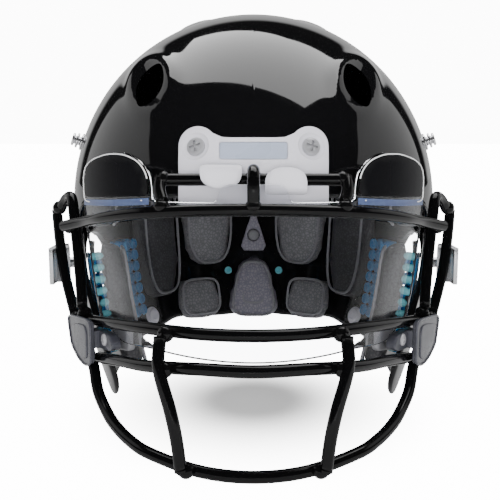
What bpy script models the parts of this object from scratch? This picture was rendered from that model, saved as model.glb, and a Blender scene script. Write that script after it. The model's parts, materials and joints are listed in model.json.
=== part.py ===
"""American football helmet with a swing-up face guard and a clear eye shield.

The helmet faces -Y and +X is the wearer's left.  Every length in this file is in millimetres
and `metres` turns a point into Blender's units.  The origin of the model is on the floor, under
the middle of the helmet's box.
"""
import math

import bmesh
import bpy
from mathutils import Matrix, Vector

# ---------------------------------------------------------------- driving dimensions (mm)
SHELL_HALF_WIDTH = 119.5
SHELL_HALF_DEPTH = 146.0
SHELL_CROWN_RISE = 122.5        # crown above the widest level
SHELL_SKIRT_DROP = 220.0        # lower half follows a longer ellipse
SHELL_LEVEL = 126.0             # height of the widest level above the floor
SHELL_WALL = 4.0
GUARD_FRONT = 204.1             # centre line of the foremost wire, ahead of the shell centre
WIRE_RADIUS = 3.2               # 6.4 mm face guard wire
FRAME_SHIFT = (GUARD_FRONT + WIRE_RADIUS - SHELL_HALF_DEPTH) / 2
HINGE_Y = -154.0                # top bar, held by the hooks of the brow bumper
HINGE_Z = 146.4
TOP_BAR_HALF = 44.5
SHIELD_THICKNESS = 2.5
WIRE_OFFSET = WIRE_RADIUS + 0.8  # wire centre line outside the shield's face
PAD_TOP_LAYER = 7.0             # pads start this far inside the shell's outer face
BUMPER_HALF_WIDTH = 40.0
BUMPER_BASE = 0.9               # bumper's back face outside the shell
BUMPER_FACE = 4.2
BUMPER_BOTTOM = 129.5
BUMPER_TOP = 168.0
EAR_CENTRE = 29.6               # screws in the bumper's two ears
EAR_RADIUS = 10.4
SCREW_Z = 162.0
HOOK_REACH = 6.8                # front of the hooks, ahead of the hinge axis
HOOK_THICKNESS = 2.9
CLIP_Y = -44.0                  # side clips, quick release
CLIP_Z = 88.5
CLIP_HALF_HEIGHT = 11.0
CLIP_OUTER = 128.0
BUTTON_TRAVEL = 2.0             # how far a release button presses in
BUTTON_RADIUS = 4.6
CLIP_SCREW = (76.0, 58.2)       # shield clip screws, across and up the shield

# ---------------------------------------------------------------- materials
FINISHES = {
    "shell_black": ((0.006, 0.006, 0.007), 0.08, 0.0),
    "wire_black": ((0.010, 0.010, 0.011), 0.16, 0.0),
    "bumper_white": ((0.80, 0.79, 0.83), 0.22, 0.0),
    "plate_grey": ((0.54, 0.58, 0.66), 0.30, 0.0),
    "clip_dark": ((0.045, 0.046, 0.056), 0.35, 0.0),
    "clip_silver": ((0.62, 0.63, 0.65), 0.25, 1.0),
    "chrome": ((0.78, 0.78, 0.80), 0.10, 1.0),
    "pad_dark": ((0.060, 0.060, 0.064), 0.38, 0.0),
    "pad_grey": ((0.130, 0.125, 0.140), 0.40, 0.0),
    "cell_blue": ((0.020, 0.16, 0.42), 0.30, 0.0),
    "clear": ((0.92, 0.94, 0.96), 0.03, 0.0),
}


def material(name):
    """Return the named finish, made once."""
    found = bpy.data.materials.get(name)
    if found:
        return found
    colour, roughness, metallic = FINISHES[name]
    made = bpy.data.materials.new(name)
    made.use_nodes = True
    shader = made.node_tree.nodes["Principled BSDF"]
    shader.inputs["Base Color"].default_value = (*colour, 1.0)
    shader.inputs["Roughness"].default_value = roughness
    shader.inputs["Metallic"].default_value = metallic
    if name == "clear":
        shader.inputs["Transmission Weight"].default_value = 1.0
    return made


# ---------------------------------------------------------------- basic tools
def metres(point):
    """Helmet millimetres to world metres."""
    x, y, z = point
    return Vector((x, y + FRAME_SHIFT, z)) * 0.001


def bake(name, verts, faces, finish, smooth=35.0, origin=None):
    """Make one object from points in millimetres, with its origin at `origin`."""
    mesh = bpy.data.meshes.new(name)
    home = metres(origin) if origin else Vector((0.0, 0.0, 0.0))
    mesh.from_pydata([metres(v) - home for v in verts], [], faces)
    work = bmesh.new()
    work.from_mesh(mesh)
    bmesh.ops.recalc_face_normals(work, faces=work.faces)
    work.to_mesh(mesh)
    work.free()
    mesh.materials.append(material(finish))
    mesh.shade_smooth()
    mesh.set_sharp_from_angle(angle=math.radians(smooth))
    thing = bpy.data.objects.new(name, mesh)
    thing.location = home
    bpy.context.scene.collection.objects.link(thing)
    return thing


def mirror_point(point, side):
    """The point itself for side 1, and its mirror image for side -1."""
    return (point[0] * side, point[1], point[2])


def two_skins(name, outer, inner, finish, closed=False, origin=None):
    """A solid between two grids of points that have the same rows and columns."""
    rows = len(outer)
    cols = len(outer[0])
    verts = [p for row in outer for p in row] + [p for row in inner for p in row]
    shift = rows * cols
    steps = cols if closed else cols - 1
    faces = []
    for r in range(rows - 1):
        for c in range(steps):
            a, b = r * cols + c, r * cols + (c + 1) % cols
            faces.append((a, b, b + cols, a + cols))
            faces.append((a + shift, a + cols + shift, b + cols + shift, b + shift))
    edges = [(r * cols + c, r * cols + (c + 1) % cols) for r in (0, rows - 1) for c in range(steps)]
    if not closed:
        edges += [(r * cols + c, (r + 1) * cols + c) for c in (0, cols - 1) for r in range(rows - 1)]
    faces += [(a, b, b + shift, a + shift) for a, b in edges]
    return bake(name, verts, faces, finish, origin=origin)


def disc_skins(name, outer, inner, finish):
    """A solid between two round patches, each a centre point and rings around it."""
    verts, faces = [], []
    for skin in (outer, inner):
        start = len(verts)
        verts.append(skin[0])
        for ring in skin[1:]:
            verts.extend(ring)
        count = len(skin[1])
        for c in range(count):
            faces.append((start, start + 1 + c, start + 1 + (c + 1) % count))
        for r in range(len(skin) - 2):
            base = start + 1 + r * count
            for c in range(count):
                d = (c + 1) % count
                faces.append((base + c, base + count + c, base + count + d, base + d))
    count = len(outer[1])
    last = 1 + (len(outer) - 2) * count
    half = len(verts) // 2
    for c in range(count):
        d = (c + 1) % count
        faces.append((last + c, last + d, half + last + d, half + last + c))
    return bake(name, verts, faces, finish)


def turned(name, base, axis, profile, finish, sides=16, origin=None):
    """A turned solid: `profile` lists (radius, height) from the axis out and back to it."""
    axis = Vector(axis).normalized()
    across = axis.orthogonal().normalized()
    along = axis.cross(across)
    base = Vector(base)
    verts, rings = [], []
    for radius, height in profile:
        if radius == 0.0:
            rings.append([len(verts)])
            verts.append(base + axis * height)
            continue
        rings.append(list(range(len(verts), len(verts) + sides)))
        for k in range(sides):
            turn = 2 * math.pi * k / sides
            offset = (across * math.cos(turn) + along * math.sin(turn)) * radius
            verts.append(base + offset + axis * height)
    faces = []
    for low, high in zip(rings, rings[1:]):
        for k in range(sides):
            n = (k + 1) % sides
            if len(low) == 1:
                faces.append((low[0], high[k], high[n]))
            elif len(high) == 1:
                faces.append((low[k], low[n], high[0]))
            else:
                faces.append((low[k], low[n], high[n], high[k]))
    return bake(name, verts, faces, finish, origin=origin)


def prism(name, outline, place_low, place_high, finish, origin=None):
    """A solid between two copies of an outline, each put in place by a function."""
    low = [place_low(p) for p in outline]
    high = [place_high(p) for p in outline]
    count = len(outline)
    faces = [tuple(range(count)), tuple(range(2 * count - 1, count - 1, -1))]
    for k in range(count):
        n = (k + 1) % count
        faces.append((k, n, n + count, k + count))
    return bake(name, low + high, faces, finish, origin=origin)


def combine(target, tool, operation):
    """Apply a Boolean to `target` and drop the tool."""
    change = target.modifiers.new(operation.lower(), "BOOLEAN")
    change.operation = operation
    change.object = tool
    change.solver = "EXACT"
    graph = bpy.context.evaluated_depsgraph_get()
    graph.update()
    result = bpy.data.meshes.new_from_object(target.evaluated_get(graph))
    target.modifiers.clear()
    target.data = result
    bpy.data.objects.remove(tool)


def smooth_path(points, steps=6):
    """A Catmull-Rom curve through the points."""
    pts = [Vector(p) for p in points]
    padded = [pts[0] * 2 - pts[1]] + pts + [pts[-1] * 2 - pts[-2]]
    path = []
    for k in range(len(pts) - 1):
        a, b, c, d = padded[k:k + 4]
        for s in range(steps):
            t = s / steps
            path.append(0.5 * ((2 * b) + (c - a) * t + (2 * a - 5 * b + 4 * c - d) * t * t
                               + (3 * b - a - 3 * c + d) * t ** 3))
    path.append(pts[-1])
    return path


def wire(name, points, finish="wire_black", steps=4, radius=WIRE_RADIUS, sides=8):
    """A round wire with flat ends, swept along a smooth path."""
    path = smooth_path(points, steps)
    rings = []
    previous = None
    for k, spot in enumerate(path):
        ahead = path[min(k + 1, len(path) - 1)] - path[max(k - 1, 0)]
        ahead.normalize()
        if previous is None:
            across = ahead.orthogonal().normalized()
        else:
            across = (previous - ahead * previous.dot(ahead)).normalized()
        previous = across
        other = ahead.cross(across)
        rings.append([spot + (across * math.cos(t) + other * math.sin(t)) * radius
                      for t in (2 * math.pi * s / sides for s in range(sides))])
    verts = [p for ring in rings for p in ring]
    faces = [tuple(range(sides)), tuple(range(len(verts) - 1, len(verts) - sides - 1, -1))]
    for r in range(len(rings) - 1):
        for s in range(sides):
            n = (s + 1) % sides
            faces.append((r * sides + s, r * sides + n, (r + 1) * sides + n, (r + 1) * sides + s))
    return bake(name, verts, faces, finish, smooth=60.0)


def both_ends(points):
    """Mirror a list that starts at the middle, so the path runs from side to side."""
    return [mirror_point(p, -1) for p in reversed(points[1:])] + list(points)


# ---------------------------------------------------------------- the shell's surface
def drop_radius(z, depth):
    """Vertical radius of the shell's ellipse, which is longer below its widest level."""
    return (SHELL_CROWN_RISE if z >= SHELL_LEVEL else SHELL_SKIRT_DROP) - depth


def wall(turn, z, depth=0.0):
    """A point on the shell: `turn` in degrees from the front, positive to the wearer's left."""
    rise = (z - SHELL_LEVEL) / drop_radius(z, depth)
    reach = math.sqrt(max(0.0, 1.0 - rise * rise))
    angle = math.radians(turn)
    x = (SHELL_HALF_WIDTH - depth) * reach * math.sin(angle)
    y = -(SHELL_HALF_DEPTH - depth) * reach * math.cos(angle)
    return (x, y, z)


def along_ray(ray, depth=0.0):
    """The shell point in a direction from the shell's centre."""
    x, y, z = ray
    down = drop_radius(SHELL_LEVEL + z, depth)
    size = math.sqrt((x / (SHELL_HALF_WIDTH - depth)) ** 2 + (y / (SHELL_HALF_DEPTH - depth)) ** 2
                     + (z / down) ** 2)
    return (x / size, y / size, SHELL_LEVEL + z / size)


def front_face(x, z, out):
    """The shell's front at a width and height, moved out by `out`."""
    rise = (z - SHELL_LEVEL) / drop_radius(z, -out)
    reach = 1.0 - rise * rise - (x / (SHELL_HALF_WIDTH + out)) ** 2
    return (x, -(SHELL_HALF_DEPTH + out) * math.sqrt(reach), z)


def side_face(y, z, out):
    """The shell's left side at a depth and height, moved out by `out`."""
    rise = (z - SHELL_LEVEL) / drop_radius(z, -out)
    reach = 1.0 - rise * rise - (y / (SHELL_HALF_DEPTH + out)) ** 2
    return ((SHELL_HALF_WIDTH + out) * math.sqrt(reach), y, z)


def outward(point):
    """The shell's outward direction at a point on it."""
    x, y, z = point
    down = drop_radius(z, 0.0)
    return Vector((x / SHELL_HALF_WIDTH ** 2, y / SHELL_HALF_DEPTH ** 2,
                   (z - SHELL_LEVEL) / down ** 2)).normalized()


# Edge of the shell as (turn, height), from the middle of the brow round to the nape.
RIM = [(0, 136), (15.5, 136), (31, 135), (46, 133), (58.5, 129), (66.5, 119), (70.5, 102),
       (67, 80), (61, 58), (57.5, 36), (56.5, 17), (61.5, 5), (71.5, 1.5), (84, 0.6), (95, 1.2),
       (106, 6), (119.5, 13), (134, 18), (147, 22), (180, 24)]
SHELL_POLE = Vector((0.0, 0.62, 0.78)).normalized()


def rim_rays(count):
    """Directions from the shell's centre to its edge, at `count` even turns round the pole."""
    forward = (Vector((0, -1, 0)) + SHELL_POLE * SHELL_POLE.y).normalized()
    sideways = SHELL_POLE.cross(forward)
    half = smooth_path([wall(*spot) for spot in RIM], 5)
    loop = half + [Vector((-p.x, p.y, p.z)) for p in reversed(half[1:-1])]
    polar = []
    for spot in loop:
        ray = (spot - Vector((0, 0, SHELL_LEVEL))).normalized()
        swing = math.atan2(ray.dot(sideways), ray.dot(forward)) % (2 * math.pi)
        polar.append((swing, SHELL_POLE.angle(ray)))
    polar.sort()
    polar = [(polar[-1][0] - 2 * math.pi, polar[-1][1])] + polar
    polar.append((polar[1][0] + 2 * math.pi, polar[1][1]))
    rays = []
    for k in range(count):
        swing = 2 * math.pi * k / count
        for (a, low), (b, high) in zip(polar, polar[1:]):
            if a <= swing <= b:
                opening = low + (high - low) * (swing - a) / max(b - a, 1e-9)
                break
        rays.append((swing, opening, forward, sideways))
    return rays


def shell_rings(depth, count, rings):
    """Centre point and rings of the shell's surface, from the pole to the edge."""
    rays = rim_rays(count)
    skin = [along_ray(SHELL_POLE, depth)]
    for r in range(1, rings + 1):
        ring = []
        for swing, opening, forward, sideways in rays:
            tilt = opening * r / rings
            level = forward * math.cos(swing) + sideways * math.sin(swing)
            ring.append(along_ray(SHELL_POLE * math.cos(tilt) + level * math.sin(tilt), depth))
        skin.append(ring)
    return skin


def shell():
    """The polycarbonate shell with its ear holes, two front vents and two crown vents."""
    body = disc_skins("shell", shell_rings(0.0, 56, 14), shell_rings(SHELL_WALL, 56, 14),
                      "shell_black")
    for side in (1, -1):
        ear = [(16 + 30 * math.cos(t) * (1 - 0.12 * math.sin(t)), 77 + 25 * math.sin(t))
               for t in (2 * math.pi * k / 14 for k in range(14))]
        cutter = prism("cutter", ear, lambda p: (90 * side, p[0], p[1]),
                       lambda p: (140 * side, p[0], p[1]), "shell_black")
        combine(body, cutter, "DIFFERENCE")
        vent = [(59.5 + 8.5 * math.cos(t), 198 + 11 * math.sin(t) + 3 * math.cos(2 * t))
                for t in (2 * math.pi * k / 10 for k in range(10))]
        cutter = prism("cutter", vent, lambda p: (p[0] * side, -60, p[1]),
                       lambda p: (p[0] * side, -140, p[1]), "shell_black")
        combine(body, cutter, "DIFFERENCE")
        top = [(38 + 6 * math.cos(t), 10 + 22 * math.sin(t))
               for t in (2 * math.pi * k / 10 for k in range(10))]
        cutter = prism("cutter", top, lambda p: (p[0] * side, p[1], 200),
                       lambda p: (p[0] * side, p[1], 270), "shell_black")
        combine(body, cutter, "DIFFERENCE")
        spot = Vector(front_face(EAR_CENTRE * side, SCREW_Z, 0.0))
        hole = turned("cutter", spot - outward(spot) * 12, outward(spot),
                      [(0, 0), (2.9, 0), (2.9, 24), (0, 24)], "shell_black", sides=10)
        combine(body, hole, "DIFFERENCE")
    return body


# ---------------------------------------------------------------- brow bumper
def bumper_top(x):
    """Upper edge of the bumper, which has a round ear at each screw."""
    aside = abs(abs(x) - EAR_CENTRE)
    if aside >= EAR_RADIUS:
        return BUMPER_TOP
    return max(BUMPER_TOP, SCREW_Z + 1.5 + math.sqrt(EAR_RADIUS ** 2 - aside ** 2))


def bumper_grid(out, face):
    """Rows of points over the bumper, from its bottom edge to its top edge."""
    columns = [-40, -39.4, -37.5, -34, -29.6, -25, -21.7, -19.4, -19, -12, -4, 4, 12, 19, 19.4,
               21.7, 25, 29.6, 34, 37.5, 39.4, 40]
    rows = []
    for level in (0.0, 0.28, 0.42, 0.62, 0.82, 1.0):
        row = []
        for x in columns:
            z = BUMPER_BOTTOM + (bumper_top(x) - BUMPER_BOTTOM) * level
            sink = 1.6 if face and z < HINGE_Z + 5 else 0.0
            row.append(front_face(x, z, out - sink))
        rows.append(row)
    return rows


def hook(side, base_z, tip_z):
    """One hook round the top bar, from `base_z` by the bumper to `tip_z` in front of the bar."""
    near, far = (5.9, 27.3)
    rise = 1 if tip_z > base_z else -1
    front = HINGE_Y - HOOK_REACH
    back = HINGE_Y + 8.0
    inner = base_z + rise * HOOK_THICKNESS
    section = [(back, base_z), (front, base_z), (front, tip_z), (front + HOOK_THICKNESS, tip_z),
               (front + HOOK_THICKNESS, inner), (back, inner)]
    return prism("hook", section, lambda p: (near * side, *p), lambda p: (far * side, *p),
                 "bumper_white")


def brow_bumper():
    """The white front bumper, its name plate and the two screws that hold it."""
    body = two_skins("brow_bumper", bumper_grid(BUMPER_FACE, True), bumper_grid(BUMPER_BASE, False),
                     "bumper_white")
    combine(body, hook(-1, 154.3, 142.3), "UNION")
    combine(body, hook(1, 138.8, 153.0), "UNION")
    low, high = 156.4, 165.8
    plate = [(-18.2, low), (18.2, low), (18.2, high), (-18.2, high)]
    pocket = prism("cutter", plate, lambda p: front_face(*p, BUMPER_FACE - 1.4),
                   lambda p: front_face(*p, BUMPER_FACE + 4), "bumper_white")
    combine(body, pocket, "DIFFERENCE")
    inset = 0.4
    small = [(x - math.copysign(inset, x), z - math.copysign(inset, z - (low + high) / 2))
             for x, z in plate]
    prism("bumper_nameplate", small, lambda p: front_face(*p, BUMPER_FACE - 1.0),
          lambda p: front_face(*p, BUMPER_FACE - 0.3), "plate_grey")
    for side, word in ((1, "left"), (-1, "right")):
        spot = Vector(front_face(EAR_CENTRE * side, SCREW_Z, 0.0))
        axis = outward(spot)
        hole = turned("cutter", spot, axis, [(0, -6), (2.9, -6), (2.9, 2.6), (5.4, 2.6), (5.4, 12),
                                             (0, 12)], "bumper_white", sides=12)
        combine(body, hole, "DIFFERENCE")
        turned(f"bumper_screw_{word}", spot, axis,
               [(0, -5.6), (2.2, -5.6), (2.2, 2.9), (4.8, 2.9), (4.8, 3.9), (3.2, 5.0), (0, 5.3)],
               "chrome", sides=12)
        turned(f"bumper_t_nut_{word}", spot, axis,
               [(2.7, -6.6), (8.0, -6.6), (8.0, -5.4), (2.7, -5.4), (2.7, -6.6)], "chrome", sides=12)


# ---------------------------------------------------------------- studs and nape bumper
def strap_studs():
    """Four chrome snap studs for the chin strap."""
    spool = [(0, 0.4), (5.6, 0.4), (5.6, 1.3), (2.8, 1.9), (2.8, 3.0), (4.9, 3.4), (4.9, 4.6),
             (2.6, 5.0), (2.6, 5.6), (4.2, 6.0), (4.0, 7.4), (0, 7.4)]
    for side, word in ((1, "left"), (-1, "right")):
        for level, y, z in (("upper", -20.0, 165.0), ("lower", 66.0, 58.0)):
            spot = Vector(mirror_point(side_face(y, z, 0.0), side))
            turned(f"strap_stud_{level}_{word}", spot, outward(spot), spool, "chrome", sides=12)


def nape_bumper():
    """The rear bumper over the nape edge."""
    turns = [180 + t for t in (-30, -24, -16, -8, 0, 8, 16, 24, 30)]
    levels = (27, 33, 44, 55, 60)

    def grid(out):
        rows = []
        for z in levels:
            ease = 1.0 - 0.10 * (z in (27, 60))
            rows.append([wall(180 + (t - 180) * ease, z, -out) for t in turns])
        return rows

    two_skins("nape_bumper", grid(4.0), grid(0.8), "shell_black")


# ---------------------------------------------------------------- face guard
def brow_line(x):
    """Shield's outer face at the brow, in plan."""
    return -168.5 + 0.003717 * x * x + 3.8e-7 * x ** 4


def mouth_line(x):
    """Shield's outer face at its lower edge, in plan."""
    return -196.5 + 0.01117 * x * x


def shield_y(x, z):
    """Shield's outer face: it leans back from the mouth to the brow and then stands upright."""
    share = min(1.0, max(-0.2, (z - 66.0) / 64.0))
    return mouth_line(x) + (brow_line(x) - mouth_line(x)) * share


def on_shield(x, z, out=0.0):
    """A point on the shield's outer face, moved out level by `out`."""
    slope = (shield_y(x + 0.01, z) - shield_y(x - 0.01, z)) / 0.02
    size = math.hypot(slope, 1.0)
    return (x + out * slope / size, shield_y(x, z) - out / size, z)


def bar_on_shield(stations, out=WIRE_OFFSET):
    """Wire centre line through (x, z) stations in front of the shield."""
    return [on_shield(x, z, out) for x, z in stations]


def face_guard_wires():
    """The welded wire guard, each wire its own solid with a small gap at each weld."""
    wire("top_bar", [(-TOP_BAR_HALF, HINGE_Y, HINGE_Z), (0, HINGE_Y, HINGE_Z),
                     (TOP_BAR_HALF, HINGE_Y, HINGE_Z)], steps=1, sides=10)
    wire("brow_bar", both_ends(bar_on_shield([(0, 132.2), (20, 131.9), (40, 130.9), (60, 128.8),
                                              (78, 125), (92, 120.8)]) + [(111, -92.5, 116.6)]),
         steps=2)
    wire("centre_post", [(0, -157.2, 149.4), (0, -162.5, 151.2), (0, -168, 151.4), (0, -172.6, 149),
                         (0, -173.6, 143), (0, -172.9, 136.2)], steps=3)
    wire("upper_mouth_bar", both_ends(bar_on_shield([(0, 74), (24, 73.6), (48, 72.2), (68, 69.4),
                                                     (80, 66.8), (90, 63.8), (99, 60.8)])),
         steps=2)
    wire("lower_mouth_bar", both_ends(bar_on_shield([(0, 58.4), (24, 57.8), (38, 55.8), (52, 53),
                                                     (66, 50.2), (78, 46.6), (83, 45)], 4.6)),
         steps=2)
    chin = [(0, -195, WIRE_RADIUS), (26.4, -190.6, 4.5), (52.5, -175, 8), (64.9, -161.7, 10.6),
            (75.2, -146.7, 14.6), (81.9, -134.5, 19.5), (87.6, -124, 27), (91.4, -114, 38),
            (97, -102, 47.5), (106.4, -80.8, 56.6)]
    wire("chin_bar", both_ends(chin), steps=2)
    for side, word in ((1, "left"), (-1, "right")):
        outer = [(109.2, -75.6, 61.6), (112.6, -70, 70), (117.4, -64, 86), (120.4, -60.5, 104),
                 (122.3, -58, 123.5)]
        wire(f"outer_side_bar_{word}", [mirror_point(p, side) for p in outer], steps=3)
        inner = [(99.6, -101.5, 70), (100.8, -98, 84), (103.2, -92, 102), (105.8, -86, 118),
                 (107.9, -81, 130), (110.4, -75.5, 132.8), (114.4, -69, 130.6),
                 (117.6, -64.4, 126.4)]
        wire(f"inner_side_bar_{word}", [mirror_point(p, side) for p in inner], steps=3)
        post = [(47.9, HINGE_Y + 0.4, HINGE_Z + 1.0), (48.0, -158.6, 141.5), (46.2, -162.6, 136.2)]
        wire(f"short_post_{word}", [mirror_point(p, side) for p in post], steps=3)
        strut = [on_shield(38.5, 71.5, 11.2), on_shield(38.0, 57, 11.8), (40.3, -195.2, 36.5),
                 (37.3, -196.0, 22), (35.4, -195.6, 6.2)]
        wire(f"long_vertical_{word}", [mirror_point(p, side) for p in strut], steps=3)


SHIELD_LEFT = [(0, 61), (26, 60.8), (51.8, 60.6), (66, 58.4), (72, 58), (88, 66), (91.5, 80),
               (96, 110), (98, 124), (98.3, 146), (96, 152.5), (90, 156.5), (79, 159.8),
               (68, 160.2), (59, 156.5), (53.8, 150), (52.4, 143), (52.4, 135.2), (18.5, 135.4),
               (17.5, 141.5), (14, 144.6), (0, 144.8)]


def shield():
    """The clear eye shield, a bent sheet of polycarbonate with two raised side lobes."""
    loop = SHIELD_LEFT + [(-x, z) for x, z in reversed(SHIELD_LEFT[1:-1])]
    work = bmesh.new()
    flat = [work.verts.new((x, 0, z)) for x, z in loop]
    face = work.faces.new(flat)
    work.normal_update()
    thick = bmesh.ops.extrude_face_region(work, geom=[face])
    for item in thick["geom"]:
        if isinstance(item, bmesh.types.BMVert):
            item.co.y = 1.0
    for k in range(-9, 10):
        geometry = work.verts[:] + work.edges[:] + work.faces[:]
        bmesh.ops.bisect_plane(work, geom=geometry, plane_co=(k * 10.0 + 0.3, 0, 0),
                               plane_no=(1, 0, 0), dist=1e-5)
    for z in (90.0, 112.0, 130.0):
        geometry = work.verts[:] + work.edges[:] + work.faces[:]
        bmesh.ops.bisect_plane(work, geom=geometry, plane_co=(0, 0, z), plane_no=(0, 0, 1),
                               dist=1e-5)
    bmesh.ops.triangulate(work, faces=work.faces[:])
    verts = []
    for vert in work.verts:
        depth = -SHIELD_THICKNESS if vert.co.y > 0.5 else 0.0
        verts.append(on_shield(vert.co.x, vert.co.z, depth))
    work.verts.index_update()
    faces = [tuple(v.index for v in f.verts) for f in work.faces]
    work.free()
    body = bake("eye_shield", verts, faces, "clear", smooth=30.0)
    for side in (1, -1):
        spot, axis = clip_screw_place(side)
        hole = turned("cutter", spot, axis, [(0, -8), (2.5, -8), (2.5, 5), (0, 5)], "clear",
                      sides=10)
        combine(body, hole, "DIFFERENCE")


def clip_screw_place(side):
    """Where a shield clip's screw crosses the shield's outer face, and its direction."""
    spot = Vector(mirror_point(on_shield(*CLIP_SCREW), side))
    axis = Vector(mirror_point(on_shield(*CLIP_SCREW, 1.0), side)) - spot
    return spot, axis.normalized()


def shield_clips():
    """The two-piece clips that clamp the shield to the guard's wires."""
    cheek = [(99.5, 60), (98.5, 63.5), (91, 66), (82, 67.8), (79.5, 66), (79.5, 44), (84, 40.5),
             (90, 41.5), (97, 47)]
    tongue = [(83, 61.6), (73, 61.9), (70.5, 58), (70.5, 55), (73, 52.6), (83, 51.4)]
    back = [(84, 56), (83, 66), (74, 69), (70, 66), (70, 53), (80, 50)]
    for side, word in ((1, "left"), (-1, "right")):
        spot, axis = clip_screw_place(side)

        def layer(out, side=side):
            return lambda p: mirror_point(on_shield(*p, out), side)

        outside = prism(f"shield_clip_front_{word}", cheek, layer(9.0), layer(12.0), "clip_dark")
        combine(outside, prism("tongue", tongue, layer(0.5), layer(6.6), "clip_dark"), "UNION")
        bridge = [(84, 61.2), (80, 61.6), (80, 52), (84, 51.6)]
        combine(outside, prism("bridge", bridge, layer(2.0), layer(10.5), "clip_dark"), "UNION")
        inside = prism(f"shield_clip_back_{word}", back, layer(-7.4), layer(-3.0), "clip_dark")
        for half in (outside, inside):
            hole = turned("cutter", spot, axis, [(0, -12), (2.3, -12), (2.3, 5.4), (3.6, 5.4),
                                                 (3.6, 20), (0, 20)], "clip_dark", sides=10)
            combine(half, hole, "DIFFERENCE")
        turned(f"shield_clip_screw_{word}", spot, axis,
               [(0, -6.8), (1.9, -6.8), (1.9, 5.8), (3.2, 5.8), (3.2, 7.0), (2.2, 7.8),
                (0, 8.0)], "chrome", sides=10)


# ---------------------------------------------------------------- side clips
def side_clips():
    """Quick-release side clips: each has a slot over a stud on the shell and a push button."""
    leave = Vector((0, HINGE_Z - CLIP_Z, CLIP_Y - HINGE_Y)).normalized()
    cross = Vector((0, leave.z, -leave.y))
    for side, word in ((1, "left"), (-1, "right")):
        wire_y = -63.6
        section = [(123.7, wire_y - 3.4), (126.2, wire_y - 3.6), (CLIP_OUTER, wire_y + 4),
                   (CLIP_OUTER, CLIP_Y + 8), (125.2, CLIP_Y + 11), (120.4, CLIP_Y + 11),
                   (115.4, wire_y + 8.6), (123.7, wire_y + 6.4)]
        body = prism(f"side_clip_{word}", section,
                     lambda p: (p[0] * side, p[1] + 1.2, CLIP_Z - CLIP_HALF_HEIGHT),
                     lambda p: (p[0] * side, p[1], CLIP_Z + CLIP_HALF_HEIGHT), "clip_silver")
        centre = Vector((0, CLIP_Y, CLIP_Z))
        half_slot = 3.9
        outline = [centre + cross * (half_slot * a) + leave * b
                   for a, b in ((-0.5, -4.2), (0.5, -4.2), (1, -2.6), (1.15, 30), (-1.35, 30),
                                (-1, -2.6))]
        slot = prism("cutter", [tuple(p) for p in outline], lambda p: (108 * side, p[1], p[2]),
                     lambda p: (121.4 * side, p[1], p[2]), "clip_silver")
        combine(body, slot, "DIFFERENCE")
        outside = (side, 0, 0)
        floor = CLIP_OUTER - 5.6
        pocket = turned("cutter", centre, outside,
                        [(0, floor), (BUTTON_RADIUS + 0.4, floor), (BUTTON_RADIUS + 0.4, 140),
                         (0, 140)], "clip_silver", sides=16)
        combine(body, pocket, "DIFFERENCE")
        pivot = (CLIP_OUTER * side, CLIP_Y, CLIP_Z)
        back = floor + BUTTON_TRAVEL + 0.4
        turned(f"release_button_{word}", centre, outside,
               [(0, back), (BUTTON_RADIUS, back), (BUTTON_RADIUS, CLIP_OUTER + 0.9),
                (BUTTON_RADIUS - 0.8, CLIP_OUTER + 1.6), (0, CLIP_OUTER + 1.6)],
               "clip_dark", sides=16, origin=pivot)
        spot = side_face(CLIP_Y, CLIP_Z, 0.0)
        turned(f"guard_stud_{word}", centre, outside,
               [(0, spot[0] + 1.3), (3.3, spot[0] + 1.3), (3.3, 120.6), (0, 120.6)],
               "chrome", sides=12)


# ---------------------------------------------------------------- liner
def pad(name, turns, levels, depths, finish, power=4.0, taper=0.0, side=1, sectors=20):
    """A cushion on the inside of the shell between two turns and two heights.

    `power` rounds its corners and `taper` narrows it towards its top (or, negative, its bottom).
    """
    turn_mid = (turns[0] + turns[1]) / 2
    turn_half = (turns[1] - turns[0]) / 2
    level_mid = (levels[0] + levels[1]) / 2
    level_half = (levels[1] - levels[0]) / 2
    skins = []
    for depth, scales in ((depths[0], (0.5, 1.0)), (depths[1], (0.45, 0.92))):
        skin = [mirror_point(wall(turn_mid, level_mid, depth), side)]
        for scale in scales:
            ring = []
            for k in range(sectors):
                angle = 2 * math.pi * k / sectors
                c, s = math.cos(angle), math.sin(angle)
                reach = scale / (abs(c) ** power + abs(s) ** power) ** (1 / power)
                squeeze = 1.0 - taper * (s * reach + 1.0) / 2
                turn = turn_mid + turn_half * c * reach * squeeze
                spot = wall(turn, level_mid + level_half * s * reach, depth)
                ring.append(mirror_point(spot, side))
            skin.append(ring)
        skins.append(skin)
    return disc_skins(name, skins[0], skins[1], finish)


def crown_pad():
    """The round cushion under the crown."""
    skins = []
    for depth, size in ((PAD_TOP_LAYER, 1.0), (24.0, 0.88)):
        rings = []
        for scale in (0.0, 0.5, 1.0):
            ring = []
            for k in range(20):
                angle = 2 * math.pi * k / 20
                x = 46 * scale * size * math.cos(angle)
                y = 8 + 56 * scale * size * math.sin(angle)
                ring.append(along_ray_xy(x, y, depth))
            rings.append(ring)
        skins.append([rings[0][0]] + rings[1:])
    disc_skins("crown_pad", skins[0], skins[1], "pad_dark")


def along_ray_xy(x, y, depth):
    """The shell's upper surface over a point in plan."""
    reach = (1.0 - (x / (SHELL_HALF_WIDTH - depth)) ** 2 - (y / (SHELL_HALF_DEPTH - depth)) ** 2)
    return (x, y, SHELL_LEVEL + (SHELL_CROWN_RISE - depth) * math.sqrt(reach))


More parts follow.
